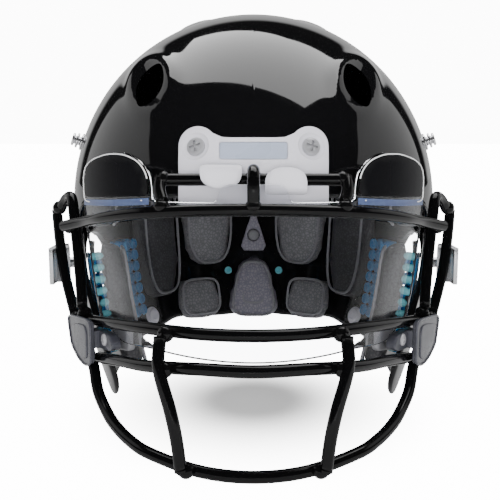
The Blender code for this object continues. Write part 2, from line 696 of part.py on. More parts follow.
def liner():
    """Cushions, the blue shock cells behind them, and the small fittings at the nape."""
    deep = PAD_TOP_LAYER
    pad("brow_pad", (-36, 36), (137, 178), (deep, 24), "pad_dark")
    crown_pad()
    pad("rear_centre_pad", (163.5, 196.5), (19.5, 71), (deep, 21), "pad_grey", taper=0.55)
    for side, word in ((1, "left"), (-1, "right")):
        pad(f"rear_lower_pad_{word}", (139, 164), (20, 57), (deep, 20), "pad_dark",
            taper=0.05, side=side)
        pad(f"rear_upper_pad_{word}", (145, 171), (60, 150), (deep, 22), "pad_dark",
            power=3.0, side=side)
        pad(f"temple_pad_{word}", (118, 142), (40, 150), (deep, 24), "pad_dark", power=3.4,
            side=side)
        pad(f"side_pad_{word}", (62, 114), (106, 166), (deep, 25), "pad_dark", side=side)
        pad(f"jaw_pad_{word}", (63, 84), (12, 104), (13.5, 29), "pad_dark", side=side)
        pad(f"jaw_cells_{word}", (63.5, 83.5), (30, 92), (5.8, 13.0), "cell_blue", power=6.0,
            side=side)
        pad(f"side_cells_{word}", (106, 116.5), (33, 92), (deep, 19), "cell_blue", power=6.0,
            side=side)
        snap = Vector(mirror_point(wall(127, 29, SHELL_WALL), side))
        turned(f"nape_snap_{word}", snap, -outward(snap), [(0, 1.5), (7.0, 1.5), (7.0, 3.0),
                                                           (5.2, 4.6), (0, 5.0)], "bumper_white",
               sides=14)
    triangle = [(0.0, 112.0), (10.5, 79.0), (8.0, 75.0), (-8.0, 75.0), (-10.5, 79.0)]
    frame = prism("occipital_frame", triangle, lambda p: rear_face(*p, 12.0),
                  lambda p: rear_face(*p, 17.0), "pad_grey")
    hole = turned("cutter", rear_face(0, 88, 0), (0, -1, 0), [(0, 0), (5.2, 0), (5.2, 40), (0, 40)],
                  "pad_grey", sides=12)
    combine(frame, hole, "DIFFERENCE")
    spot = rear_face(0, 88, 13.0)
    turned("frame_button", spot, (0, -1, 0), [(0, 0), (4.7, 0), (4.7, 4.6), (3.6, 5.6), (0, 5.8)],
           "pad_grey", sides=12)


def rear_face(x, z, depth):
    """The inside of the shell's back at a width and height."""
    spot = front_face(x, z, -depth)
    return (spot[0], -spot[1], spot[2])


# ---------------------------------------------------------------- assembly
def assemble():
    """Parent the swinging pieces to an empty on the hinge axis."""
    pivot = bpy.data.objects.new("face_guard_pivot", None)
    pivot.location = metres((0, HINGE_Y, HINGE_Z))
    bpy.context.scene.collection.objects.link(pivot)
    swinging = ("top_bar", "brow_bar", "centre_post", "upper_mouth_bar", "lower_mouth_bar",
                "chin_bar", "outer_side_bar", "inner_side_bar",
                "short_post", "long_vertical", "eye_shield",
                "shield_clip", "side_clip", "release_button")
    for thing in list(bpy.context.scene.collection.objects):
        if thing.type == "MESH" and thing.name.startswith(swinging):
            thing.parent = pivot
            thing.matrix_parent_inverse = Matrix.Translation(-pivot.location)


for leftover in list(bpy.data.objects):
    bpy.data.objects.remove(leftover)
shell()
brow_bumper()
strap_studs()
nape_bumper()
face_guard_wires()
shield()
shield_clips()
side_clips()
liner()
assemble()
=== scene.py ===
"""Looks for the american football helmet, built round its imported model.

Sizes are in millimetres in the helmet's own frame: X to the wearer's left, Y back from the middle
of the shell, Z up from the floor.  `world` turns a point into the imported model's metres.
"""
import json
import math

import bmesh
import bpy
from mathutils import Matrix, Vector
from mathutils.bvhtree import BVHTree
from mathutils.interpolate import poly_3d_calc

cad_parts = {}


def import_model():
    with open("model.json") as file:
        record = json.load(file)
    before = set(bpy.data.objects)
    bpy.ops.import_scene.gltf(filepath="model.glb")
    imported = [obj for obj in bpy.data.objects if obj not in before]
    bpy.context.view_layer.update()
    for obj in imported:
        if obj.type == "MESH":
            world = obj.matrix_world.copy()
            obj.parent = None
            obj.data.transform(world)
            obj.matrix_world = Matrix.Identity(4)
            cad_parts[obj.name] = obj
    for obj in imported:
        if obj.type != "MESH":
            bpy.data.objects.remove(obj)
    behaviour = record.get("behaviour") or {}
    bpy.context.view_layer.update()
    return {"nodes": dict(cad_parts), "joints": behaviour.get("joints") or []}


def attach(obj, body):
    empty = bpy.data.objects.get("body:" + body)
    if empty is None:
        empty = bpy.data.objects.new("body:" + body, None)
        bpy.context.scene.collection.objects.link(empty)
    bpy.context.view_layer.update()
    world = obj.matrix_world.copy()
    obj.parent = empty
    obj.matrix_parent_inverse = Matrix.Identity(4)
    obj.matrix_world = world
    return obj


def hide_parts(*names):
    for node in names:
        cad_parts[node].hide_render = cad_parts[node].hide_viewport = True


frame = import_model()

# ---------------------------------------------------------------- driving sizes (mm)
HINGE_Y = -154.0
HINGE_Z = 146.4
SWING = [joint for joint in frame["joints"] if joint["name"] == "face_guard_swing"][0]
BACK_SHIFT = SWING["pos_m"][1] * 1000 - HINGE_Y
HALF_WIDTH = 119.5
HALF_DEPTH = 146.0
CROWN_RISE = 122.5
SKIRT_DROP = 220.0
WIDEST = 126.0
WALL = 4.0
WIRE_RADIUS = 3.2
WIRE_OFFSET = WIRE_RADIUS + 0.8
LENS_THICKNESS = 2.5
TOP_BAR_HALF = 44.5
EAR_X = 29.6
EAR_RADIUS = 10.4
SCREW_Z = 162.0
EAR_LIFT = 1.5
NAMEPLATE_LOW = 156.4
NAMEPLATE_HIGH = 165.8
HOOK_THICKNESS = 2.9
HOOK_REACH = 6.8
HOOK_LEFT = (138.8, 153.0)
HOOK_RIGHT = (154.3, 142.3)
STUD_SPOTS = ((-20.0, 165.0), (66.0, 58.0))
BUMPER_LOW = 129.5
BUMPER_HIGH = 168.0
BUMPER_HALF = 40.0
BUMPER_BASE = 0.9
BUMPER_FACE = 4.2
CLIP_SCREW = (76.0, 58.2)
SIDES = ((1, "left"), (-1, "right"))
BACKDROP = 14.0
# centre and size of the painted shadow on the floor, where the floor's added glow is least
PAINTED_SHADOW_CENTRE = (0.0, -0.02, 0.0)
PAINTED_SHADOW_SIZE = (0.085, 0.105, 1.0)


def world(point):
    """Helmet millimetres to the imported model's metres."""
    x, y, z = point
    return Vector((x, y + BACK_SHIFT, z)) * 0.001


def flip(point, side):
    """The point for side 1, its mirror image for side -1."""
    return Vector((point[0] * side, point[1], point[2]))


# ---------------------------------------------------------------- surfaces of the helmet
def fall(z, depth):
    """Vertical radius of the shell, which is longer below its widest level."""
    return (CROWN_RISE if z >= WIDEST else SKIRT_DROP) - depth


def wall(turn, z, depth=0.0):
    """A point on the shell at a turn in degrees from the front and a height."""
    rise = (z - WIDEST) / fall(z, depth)
    reach = math.sqrt(max(0.0, 1.0 - rise * rise))
    angle = math.radians(turn)
    return Vector(((HALF_WIDTH - depth) * reach * math.sin(angle),
                   -(HALF_DEPTH - depth) * reach * math.cos(angle), z))


def along_ray(ray, depth=0.0):
    """The shell's point in a direction from its centre."""
    size = math.sqrt((ray.x / (HALF_WIDTH - depth)) ** 2 + (ray.y / (HALF_DEPTH - depth)) ** 2
                     + (ray.z / fall(WIDEST + ray.z, depth)) ** 2)
    return Vector((ray.x / size, ray.y / size, WIDEST + ray.z / size))


def front_face(x, z, out=0.0):
    """The shell's front at a width and height, moved out by `out`."""
    rise = (z - WIDEST) / fall(z, -out)
    reach = 1.0 - rise * rise - (x / (HALF_WIDTH + out)) ** 2
    return Vector((x, -(HALF_DEPTH + out) * math.sqrt(max(reach, 0.0)), z))


def side_face(y, z, out=0.0):
    """The shell's left side at a depth and height, moved out by `out`."""
    rise = (z - WIDEST) / fall(z, -out)
    reach = 1.0 - rise * rise - (y / (HALF_DEPTH + out)) ** 2
    return Vector(((HALF_WIDTH + out) * math.sqrt(max(reach, 0.0)), y, z))


def outward(point):
    """The shell's outward direction at a point on it."""
    return Vector((point[0] / HALF_WIDTH ** 2, point[1] / HALF_DEPTH ** 2,
                   (point[2] - WIDEST) / fall(point[2], 0.0) ** 2)).normalized()


def lens_depth(x, z):
    """The shield's outer face: it leans back from the mouth to the brow and then stands up."""
    share = min(1.0, max(-0.2, (z - 66.0) / 64.0))
    mouth = -196.5 + 0.01117 * x * x
    brow = -168.5 + 0.003717 * x * x + 3.8e-7 * x ** 4
    return mouth + (brow - mouth) * share


def lens(x, z, out=0.0):
    """A point on the shield, moved out level by `out`."""
    slope = (lens_depth(x + 0.01, z) - lens_depth(x - 0.01, z)) / 0.02
    size = math.hypot(slope, 1.0)
    return Vector((x + out * slope / size, lens_depth(x, z) - out / size, z))


# ---------------------------------------------------------------- shader groups
def node(tree, kind, links=(), **settings):
    """Add a node, set its properties, and link or set its inputs."""
    made = tree.nodes.new(kind)
    for name, value in settings.items():
        setattr(made, name, value)
    for name, value in dict(links).items():
        if isinstance(value, bpy.types.NodeSocket):
            tree.links.new(value, made.inputs[name])
        else:
            made.inputs[name].default_value = value
    return made


def new_group(name, inputs, outputs):
    """A shader node group with its own input and output nodes."""
    group = bpy.data.node_groups.new(name, "ShaderNodeTree")
    for label, kind, value in inputs:
        socket = group.interface.new_socket(label, in_out="INPUT", socket_type=kind)
        socket.default_value = value
    for label, kind in outputs:
        group.interface.new_socket(label, in_out="OUTPUT", socket_type=kind)
    return group, group.nodes.new("NodeGroupInput"), group.nodes.new("NodeGroupOutput")


def grain_group():
    """Fine moulded or powder-coat skin: a height and a roughness that wander over the surface."""
    group, given, out = new_group(
        "moulded_grain",
        [("Fine Scale", "NodeSocketFloat", 900.0), ("Broad Scale", "NodeSocketFloat", 40.0),
         ("Smoothest", "NodeSocketFloat", 0.1), ("Roughest", "NodeSocketFloat", 0.2)],
        [("Height", "NodeSocketFloat"), ("Roughness", "NodeSocketFloat")])
    place = node(group, "ShaderNodeTexCoord").outputs["Object"]
    fine = node(group, "ShaderNodeTexNoise", {"Vector": place, "Scale": given.outputs["Fine Scale"],
                                              "Detail": 2.0})
    broad = node(group, "ShaderNodeTexNoise", {"Vector": place,
                                               "Scale": given.outputs["Broad Scale"], "Detail": 4.0})
    spread = node(group, "ShaderNodeMapRange", {"Value": broad.outputs["Fac"], "From Min": 0.3,
                                                "From Max": 0.7, "To Min": given.outputs["Smoothest"],
                                                "To Max": given.outputs["Roughest"]})
    group.links.new(fine.outputs["Fac"], out.inputs["Height"])
    group.links.new(spread.outputs["Result"], out.inputs["Roughness"])
    return group


def leather_group():
    """Pebbled cushion skin: cells with soft valleys between them, and a mask for painted shade in those
    valleys.
    """
    group, given, out = new_group(
        "pebbled_skin", [("Cell Scale", "NodeSocketFloat", 420.0)],
        [("Height", "NodeSocketFloat"), ("Valley Shade", "NodeSocketFloat")])
    place = node(group, "ShaderNodeTexCoord").outputs["Object"]
    cells = node(group, "ShaderNodeTexVoronoi", {"Vector": place,
                                                 "Scale": given.outputs["Cell Scale"]},
                 feature="DISTANCE_TO_EDGE")
    soft = node(group, "ShaderNodeMapRange", {"Value": cells.outputs["Distance"], "From Max": 0.28},
                interpolation_type="SMOOTHSTEP")
    # painted shade: this mask darkens the colour in the valleys between the pebbles
    valley_shade = node(group, "ShaderNodeMath", {0: 1.0, 1: soft.outputs["Result"]},
                  operation="SUBTRACT")
    group.links.new(soft.outputs["Result"], out.inputs["Height"])
    group.links.new(valley_shade.outputs["Value"], out.inputs["Valley Shade"])
    return group


def wear_group():
    """A mask for rubbed edges and for dust that settles on upward faces."""
    group, given, out = new_group(
        "edge_and_dust", [("Edge From", "NodeSocketFloat", 0.53), ("Edge To", "NodeSocketFloat", 0.62)],
        [("Edge", "NodeSocketFloat"), ("Dust", "NodeSocketFloat")])
    geometry = node(group, "ShaderNodeNewGeometry")
    place = node(group, "ShaderNodeTexCoord").outputs["Object"]
    edge = node(group, "ShaderNodeMapRange", {"Value": geometry.outputs["Pointiness"],
                                              "From Min": given.outputs["Edge From"],
                                              "From Max": given.outputs["Edge To"]})
    breakup = node(group, "ShaderNodeTexNoise", {"Vector": place, "Scale": 260.0, "Detail": 5.0})
    worn = node(group, "ShaderNodeMath", {0: edge.outputs["Result"], 1: breakup.outputs["Fac"]},
                operation="MULTIPLY")
    facing = node(group, "ShaderNodeSeparateXYZ", {"Vector": geometry.outputs["Normal"]})
    specks = node(group, "ShaderNodeTexNoise", {"Vector": place, "Scale": 1500.0, "Detail": 3.0})
    rare = node(group, "ShaderNodeMapRange", {"Value": specks.outputs["Fac"], "From Min": 0.62,
                                              "From Max": 0.78})
    upward = node(group, "ShaderNodeMath", {0: facing.outputs["Z"], 1: rare.outputs["Result"]},
                  operation="MULTIPLY", use_clamp=True)
    group.links.new(worn.outputs["Value"], out.inputs["Edge"])
    group.links.new(upward.outputs["Value"], out.inputs["Dust"])
    return group


GRAIN = grain_group()
PEBBLE = leather_group()
WEAR = wear_group()


def shader(name):
    """A new material, its tree and its Principled shader."""
    made = bpy.data.materials.new(name)
    made.use_nodes = True
    return made, made.node_tree, made.node_tree.nodes["Principled BSDF"]


def set_inputs(principled, **values):
    """Set constants on the shader's own sockets, named with underscores for spaces."""
    for name, value in values.items():
        principled.inputs[name.replace("_", " ")].default_value = value


def tint(tree, low, high, factor):
    """A colour between two, mixed by a mask."""
    mix = node(tree, "ShaderNodeMix", {"Factor": factor}, data_type="RGBA")
    mix.inputs["A"].default_value = (*low, 1.0)
    mix.inputs["B"].default_value = (*high, 1.0)
    return mix.outputs["Result"]


def plastic(name, colour, worn, smoothest, roughest, fine=900.0, bump=0.02, metallic=0.0):
    """Moulded, painted or plated skin with fine grain, worn edges and a little dust."""
    made, tree, principled = shader(name)
    grain = node(tree, "ShaderNodeGroup", node_tree=GRAIN)
    grain.inputs["Fine Scale"].default_value = fine
    grain.inputs["Smoothest"].default_value = smoothest
    grain.inputs["Roughest"].default_value = roughest
    wear = node(tree, "ShaderNodeGroup", node_tree=WEAR)
    edged = tint(tree, colour, worn, wear.outputs["Edge"])
    dusty = node(tree, "ShaderNodeMix", {"Factor": wear.outputs["Dust"], "A": edged},
                 data_type="RGBA")
    dusty.inputs["B"].default_value = (*[min(1.0, c + 0.02) for c in colour], 1.0)
    relief = node(tree, "ShaderNodeBump", {"Height": grain.outputs["Height"], "Strength": bump,
                                           "Distance": 0.0002})
    tree.links.new(dusty.outputs["Result"], principled.inputs["Base Color"])
    tree.links.new(grain.outputs["Roughness"], principled.inputs["Roughness"])
    tree.links.new(relief.outputs["Normal"], principled.inputs["Normal"])
    set_inputs(principled, Metallic=metallic)
    return made


def shell_paint():
    """Gloss black moulding with a fine parting line along the middle of the crown."""
    made = plastic("gloss_black_shell", (0.0035, 0.0035, 0.004), (0.010, 0.010, 0.011), 0.03, 0.07,
                   fine=260.0, bump=0.004)
    tree = made.node_tree
    principled = tree.nodes["Principled BSDF"]
    place = node(tree, "ShaderNodeTexCoord").outputs["Object"]
    across = node(tree, "ShaderNodeSeparateXYZ", {"Vector": place}).outputs["X"]
    away = node(tree, "ShaderNodeMath", {0: across}, operation="ABSOLUTE")
    ridge = node(tree, "ShaderNodeMapRange", {"Value": away.outputs["Value"], "From Min": 0.0,
                                              "From Max": 0.0009, "To Min": 1.0, "To Max": 0.0},
                 interpolation_type="SMOOTHSTEP")
    line = node(tree, "ShaderNodeBump", {"Height": ridge.outputs["Result"], "Strength": 0.12,
                                         "Distance": 0.0004})
    below = principled.inputs["Normal"].links[0].from_socket
    tree.links.new(below, line.inputs["Normal"])
    tree.links.new(line.outputs["Normal"], principled.inputs["Normal"])
    return made


def cushion_skin(name, colour, valley_shade):
    """Flexible cushion skin, pebbled and softly glossy, its colour darkened toward a second colour in
    the pebble valleys as painted shade.
    """
    made, tree, principled = shader(name)
    pebble = node(tree, "ShaderNodeGroup", node_tree=PEBBLE)
    grain = node(tree, "ShaderNodeGroup", node_tree=GRAIN)
    grain.inputs["Smoothest"].default_value = 0.30
    grain.inputs["Roughest"].default_value = 0.46
    relief = node(tree, "ShaderNodeBump", {"Height": pebble.outputs["Height"], "Strength": 0.16,
                                           "Distance": 0.0004})
    # painted shade: the second colour darkens the skin in the pebble valleys
    tree.links.new(tint(tree, colour, valley_shade, pebble.outputs["Valley Shade"]),
                   principled.inputs["Base Color"])
    tree.links.new(grain.outputs["Roughness"], principled.inputs["Roughness"])
    tree.links.new(relief.outputs["Normal"], principled.inputs["Normal"])
    set_inputs(principled, Specular_IOR_Level=0.25)
    return made


def clear_sheet():
    """Clear polycarbonate that lets light through to what is behind it."""
    made, tree, principled = shader("clear_polycarbonate")
    set_inputs(principled, Transmission_Weight=1.0, IOR=1.22, Base_Color=(0.97, 0.98, 1.0, 1.0))
    grain = node(tree, "ShaderNodeGroup", node_tree=GRAIN)
    grain.inputs["Smoothest"].default_value = 0.0
    grain.inputs["Roughest"].default_value = 0.02
    tree.links.new(grain.outputs["Roughness"], principled.inputs["Roughness"])
    path = node(tree, "ShaderNodeLightPath")
    seen = node(tree, "ShaderNodeMapRange", {"Value": path.outputs["Is Shadow Ray"], "To Min": 1.0,
                                             "To Max": 0.12})
    tree.links.new(seen.outputs["Result"], principled.inputs["Alpha"])
    return made


SHELL_BLACK = shell_paint()
WIRE_BLACK = plastic("powder_coat_black", (0.002, 0.002, 0.0022), (0.012, 0.012, 0.012), 0.08, 0.16,
                     fine=1300.0, bump=0.05)
BUMPER_WHITE = plastic("bumper_white_gloss", (0.68, 0.67, 0.73), (0.8, 0.8, 0.84), 0.16, 0.28)
PLATE_GREY = plastic("plate_satin_grey", (0.36, 0.41, 0.52), (0.5, 0.55, 0.64), 0.24, 0.36)
CLIP_DARK = plastic("clip_charcoal", (0.035, 0.036, 0.046), (0.16, 0.16, 0.18), 0.22, 0.36,
                    fine=1600.0, bump=0.08)
SCREW_ZINC = plastic("screw_zinc", (0.36, 0.36, 0.38), (0.6, 0.6, 0.62), 0.24, 0.36, metallic=0.35)
CLIP_SILVER = plastic("clip_silver", (0.66, 0.67, 0.69), (0.85, 0.85, 0.87), 0.14, 0.26,
                      metallic=0.85)
CHROME = plastic("polished_chrome", (0.78, 0.78, 0.80), (0.9, 0.9, 0.92), 0.18, 0.28, metallic=0.95)
# the second colour of each cushion skin is painted shade for its pebble valleys
PAD_DARK = cushion_skin("cushion_charcoal", (0.080, 0.080, 0.086), (0.048, 0.048, 0.052))
# painted light: a lighter copy of the charcoal cushion skin, for the rear cushions that face the light
PAD_LIT_COPY = cushion_skin("cushion_lit_copy_grey", (0.22, 0.22, 0.23), (0.14, 0.14, 0.15))
PAD_GREY = cushion_skin("cushion_mauve_grey", (0.28, 0.27, 0.31), (0.19, 0.18, 0.22))
PIPING = plastic("cushion_piping", (0.20, 0.20, 0.215), (0.32, 0.32, 0.34), 0.26, 0.40)
CELL_BLUE = plastic("shock_cell_blue", (0.02, 0.17, 0.42), (0.10, 0.36, 0.62), 0.14, 0.30)
BEAD_TEAL = plastic("bead_teal", (0.10, 0.40, 0.46), (0.3, 0.6, 0.66), 0.12, 0.24)
STRIP_BLUE = plastic("strip_pale_blue", (0.05, 0.07, 0.17), (0.12, 0.18, 0.32), 0.12, 0.24)
PRINT_BLACK = plastic("print_black", (0.004, 0.004, 0.005), (0.02, 0.02, 0.02), 0.10, 0.20)
set_inputs(WIRE_BLACK.node_tree.nodes["Principled BSDF"], Specular_IOR_Level=0.22)
set_inputs(PRINT_BLACK.node_tree.nodes["Principled BSDF"], Specular_IOR_Level=0.04)
PRINT_WHITE = plastic("print_white", (0.85, 0.85, 0.86), (0.9, 0.9, 0.9), 0.3, 0.4)
CLEAR = clear_sheet()


# ---------------------------------------------------------------- mesh tools
def make(name, mesh, material, smooth=35.0):
    """Link a mesh as an object at the origin with one material and smooth shading."""
    mesh.materials.clear()
    mesh.materials.append(material)
    mesh.shade_smooth()
    if smooth:
        mesh.set_sharp_from_angle(angle=math.radians(smooth))
    thing = bpy.data.objects.new(name, mesh)
    bpy.context.scene.collection.objects.link(thing)
    return thing


def mesh_of(name, verts, faces):
    """A mesh in metres from points in millimetres, its faces turned outwards."""
    mesh = bpy.data.meshes.new(name)
    mesh.from_pydata([world(v) for v in verts], [], faces)
    work = bmesh.new()
    work.from_mesh(mesh)
    bmesh.ops.recalc_face_normals(work, faces=work.faces)
    work.to_mesh(mesh)
    work.free()
    return mesh


def finish(piece, body, slot, *nodes):
    """Say what a finished piece rides on and stands for: attach it to its body and hide those CAD
    nodes. `slot` is not used.
    """
    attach(piece, body)
    if nodes:
        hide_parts(*nodes)
    return piece


def piece(name, solid, material, body, slot, *nodes, smooth=40.0):
    """A finished piece made straight from (points, faces)."""
    return finish(make(name, mesh_of(name, *solid), material, smooth), body, slot, *nodes)


def smooth_path(points, steps=8):
    """A Catmull-Rom curve through the points."""
    pts = [Vector(p) for p in points]
    padded = [pts[0] * 2 - pts[1]] + pts + [pts[-1] * 2 - pts[-2]]
    path = []
    for k in range(len(pts) - 1):
        a, b, c, d = padded[k:k + 4]
        for s in range(steps):
            t = s / steps
            path.append(0.5 * ((2 * b) + (c - a) * t + (2 * a - 5 * b + 4 * c - d) * t * t
                               + (3 * b - a - 3 * c + d) * t ** 3))
    path.append(pts[-1])
    return path


def both_ends(points):
    """Mirror a list that starts at the middle, so the path runs from side to side."""
    return [flip(p, -1) for p in reversed(points[1:])] + [Vector(p) for p in points]


def rounded(outline, radius, steps=5):
    """The outline with each corner replaced by a short curve."""
    pts = [Vector(p) for p in outline]
    result = []
    for k, corner in enumerate(pts):
        before = pts[k - 1] - corner
        after = pts[(k + 1) % len(pts)] - corner
        start = corner + before.normalized() * min(radius, before.length * 0.45)
        end = corner + after.normalized() * min(radius, after.length * 0.45)
        for s in range(steps + 1):
            t = s / steps
            result.append(start * (1 - t) ** 2 + corner * 2 * t * (1 - t) + end * t * t)
    return result


def moulding(outline, low, high, edge, cell, surface):
    """A flat outline given thickness and soft edges, then laid on a surface.

    `surface` takes (across, up, out).  `cell` is the spacing of the cuts that let it bend.
    """
    work = bmesh.new()
    face = work.faces.new([work.verts.new((p[0], low, p[1])) for p in outline])
    work.normal_update()
    grown = bmesh.ops.extrude_face_region(work, geom=[face])
    for item in grown["geom"]:
        if isinstance(item, bmesh.types.BMVert):
            item.co.y = high
    work.normal_update()
    rims = [e for e in work.edges if abs(e.verts[0].co.y - e.verts[1].co.y) < 1e-6]
    if edge:
        bmesh.ops.bevel(work, geom=rims, offset=edge, segments=3, profile=0.5, affect="EDGES",
                        clamp_overlap=True)
    spread = [[v.co[axis] for v in work.verts] for axis in (0, 2)]
    for axis, values in zip((0, 2), spread):
        first = math.floor(min(values) / cell) + 1
        last = math.ceil(max(values) / cell)
        for k in range(first, last):
            spot = Vector((0, 0, 0))
            spot[axis] = k * cell + 0.0137
            turn = Vector((0, 0, 0))
            turn[axis] = 1
            geometry = work.verts[:] + work.edges[:] + work.faces[:]
            bmesh.ops.bisect_plane(work, geom=geometry, plane_co=spot, plane_no=turn, dist=1e-5)
    bmesh.ops.triangulate(work, faces=[f for f in work.faces if len(f.verts) > 4])
    work.verts.index_update()
    verts = [surface(v.co.x, v.co.z, v.co.y) for v in work.verts]
    faces = [tuple(v.index for v in f.verts) for f in work.faces]
    work.free()
    return verts, faces


def joined(*parts):
    """Several (points, faces) pairs as one."""
    verts, faces = [], []
    for some, theirs in parts:
        start = len(verts)
        verts += some
        faces += [tuple(i + start for i in face) for face in theirs]
    return verts, faces


def turned(base, axis, profile, sides=40):
    """A turned solid: `profile` lists (radius, height) from the axis out and back to it."""
    axis = Vector(axis).normalized()
    across = axis.orthogonal().normalized()
    along = axis.cross(across)
    base = Vector(base)
    verts, rings, faces = [], [], []
    for radius, height in profile:
        count = sides if radius > 0.0 else 1
        rings.append(list(range(len(verts), len(verts) + count)))
        for k in range(count):
            angle = 2 * math.pi * k / sides
            verts.append(base + (across * math.cos(angle) + along * math.sin(angle)) * radius
                         + axis * height)
    for low, high in zip(rings, rings[1:]):
        for k in range(sides):
            n = (k + 1) % sides
            corners = [low[k % len(low)], low[n % len(low)], high[n % len(high)],
                       high[k % len(high)]]
            face = tuple(dict.fromkeys(corners))
            if len(face) > 2:
                faces.append(face)
    return verts, faces


def cut(target, solid):
    """Take a solid, given as (points, faces), away from an object."""
    tool = bpy.data.objects.new("tool", mesh_of("tool", *solid))
    bpy.context.scene.collection.objects.link(tool)
    change = target.modifiers.new("cut", "BOOLEAN")
    change.operation = "DIFFERENCE"
    change.object = tool
    change.solver = "EXACT"
    apply_modifiers(target)
    bpy.data.objects.remove(tool)


def apply_modifiers(target):
    """Replace an object's mesh with what its modifiers make of it."""
    bpy.context.view_layer.update()
    graph = bpy.context.evaluated_depsgraph_get()
    result = bpy.data.meshes.new_from_object(target.evaluated_get(graph))
    target.modifiers.clear()
    target.data = result


def cad_copy(name):
    """A welded copy of a CAD node's mesh, as a bmesh."""
    work = bmesh.new()
    work.from_mesh(frame["nodes"][name].data)
    bmesh.ops.remove_doubles(work, verts=work.verts, dist=1e-6)
    return work


def refined(name, material, edge=0.35, smooth=40.0):
    """A CAD node's own shape with softened edges."""
    work = cad_copy(name)
    bmesh.ops.dissolve_limit(work, angle_limit=math.radians(1.0), verts=work.verts, edges=work.edges)
    sharp = [e for e in work.edges if len(e.link_faces) == 2
             and e.calc_face_angle() > math.radians(28)]
    bmesh.ops.bevel(work, geom=sharp, offset=edge * 0.001, segments=3, profile=0.5, affect="EDGES",
                    clamp_overlap=True)
    bmesh.ops.triangulate(work, faces=[f for f in work.faces if len(f.verts) > 4])
    mesh = bpy.data.meshes.new(name + "_skin")
    work.to_mesh(mesh)
    work.free()
    return make(name + "_skin", mesh, material, smooth)


# ---------------------------------------------------------------- geometry node trees
def geometry_tree(name, inputs):
    """A Geometry Nodes tree with a Geometry input, the given inputs and a Geometry output."""
    tree = bpy.data.node_groups.new(name, "GeometryNodeTree")
    tree.interface.new_socket("Geometry", in_out="INPUT", socket_type="NodeSocketGeometry")
    for label, kind in inputs:
        tree.interface.new_socket(label, in_out="INPUT", socket_type=kind)
    tree.interface.new_socket("Geometry", in_out="OUTPUT", socket_type="NodeSocketGeometry")
    return tree, tree.nodes.new("NodeGroupInput"), tree.nodes.new("NodeGroupOutput")


def tube_tree():
    """Sweep a round section along every spline, thinning where the spline's radius says."""
    tree, given, out = geometry_tree("round_tube", [("Radius", "NodeSocketFloat"),
                                                    ("Sides", "NodeSocketInt"),
                                                    ("Material", "NodeSocketMaterial")])
    ring = node(tree, "GeometryNodeCurvePrimitiveCircle", {"Resolution": given.outputs["Sides"],
                                                           "Radius": given.outputs["Radius"]})
    swept = node(tree, "GeometryNodeCurveToMesh", {"Curve": given.outputs["Geometry"],
                                                   "Profile Curve": ring.outputs["Curve"],
                                                   "Fill Caps": True})
    soft = node(tree, "GeometryNodeSetShadeSmooth", {"Geometry": swept.outputs["Mesh"]})
    real = node(tree, "GeometryNodeRealizeInstances", {"Geometry": soft.outputs["Geometry"]})
    dressed = node(tree, "GeometryNodeSetMaterial", {"Geometry": real.outputs["Geometry"],
                                                     "Material": given.outputs["Material"]})
    tree.links.new(dressed.outputs["Geometry"], out.inputs["Geometry"])
    return tree


def copies_tree():
    """Put a copy of a pattern object on every point, aimed and sized by the point's attributes."""
    tree, given, out = geometry_tree("aimed_copies", [("Pattern", "NodeSocketObject"),
                                                      ("Material", "NodeSocketMaterial")])
    aim = node(tree, "GeometryNodeInputNamedAttribute", {"Name": "aim"}, data_type="FLOAT_VECTOR")
    size = node(tree, "GeometryNodeInputNamedAttribute", {"Name": "size"}, data_type="FLOAT_VECTOR")
    shape = node(tree, "GeometryNodeObjectInfo", {"Object": given.outputs["Pattern"]})
    turn = node(tree, "FunctionNodeAlignRotationToVector", {"Vector": aim.outputs["Attribute"]},
                axis="Z")
    placed = node(tree, "GeometryNodeInstanceOnPoints", {"Points": given.outputs["Geometry"],
                                                         "Instance": shape.outputs["Geometry"],
                                                         "Rotation": turn.outputs["Rotation"],
                                                         "Scale": size.outputs["Attribute"]})
    real = node(tree, "GeometryNodeRealizeInstances", {"Geometry": placed.outputs["Instances"]})
    soft = node(tree, "GeometryNodeSetShadeSmooth", {"Geometry": real.outputs["Geometry"]})
    dressed = node(tree, "GeometryNodeSetMaterial", {"Geometry": soft.outputs["Geometry"],
                                                     "Material": given.outputs["Material"]})
    tree.links.new(dressed.outputs["Geometry"], out.inputs["Geometry"])
    return tree


TUBES = tube_tree()
COPIES = copies_tree()


def grow(name, source, tree, smooth=40.0, **values):
    """Run a tree on a source object and keep the result as a plain mesh object."""
    start = bpy.data.objects.new(name + "_source", source)
    bpy.context.scene.collection.objects.link(start)
    change = start.modifiers.new("tree", "NODES")
    change.node_group = tree
    for item in tree.interface.items_tree:
        if item.in_out == "INPUT" and item.name in values:
            change[item.identifier] = values[item.name]
    bpy.context.view_layer.update()
    graph = bpy.context.evaluated_depsgraph_get()
    result = bpy.data.meshes.new_from_object(start.evaluated_get(graph))
    bpy.data.objects.remove(start)
    result.name = name
    return make(name, result, values["Material"], smooth)


def tubes(name, paths, radius, material, sides=20, closed=False):
    """Round tubes along paths in millimetres, with rounded ends unless they are closed loops."""
    curve = bpy.data.curves.new(name, "CURVE")
    curve.dimensions = "3D"
    for path in paths:
        path = [Vector(p) for p in path]
        sizes = [1.0] * len(path)
        if not closed:
            path, sizes = round_ends(path, radius)
        spline = curve.splines.new("POLY")
        spline.points.add(len(path) - 1)
        spline.use_cyclic_u = closed
        for spot, point, size in zip(spline.points, path, sizes):
            spot.co = (*world(point), 1.0)
            spot.radius = size
    return grow(name, curve, TUBES, 60.0, Radius=radius * 0.001, Sides=sides, Material=material)


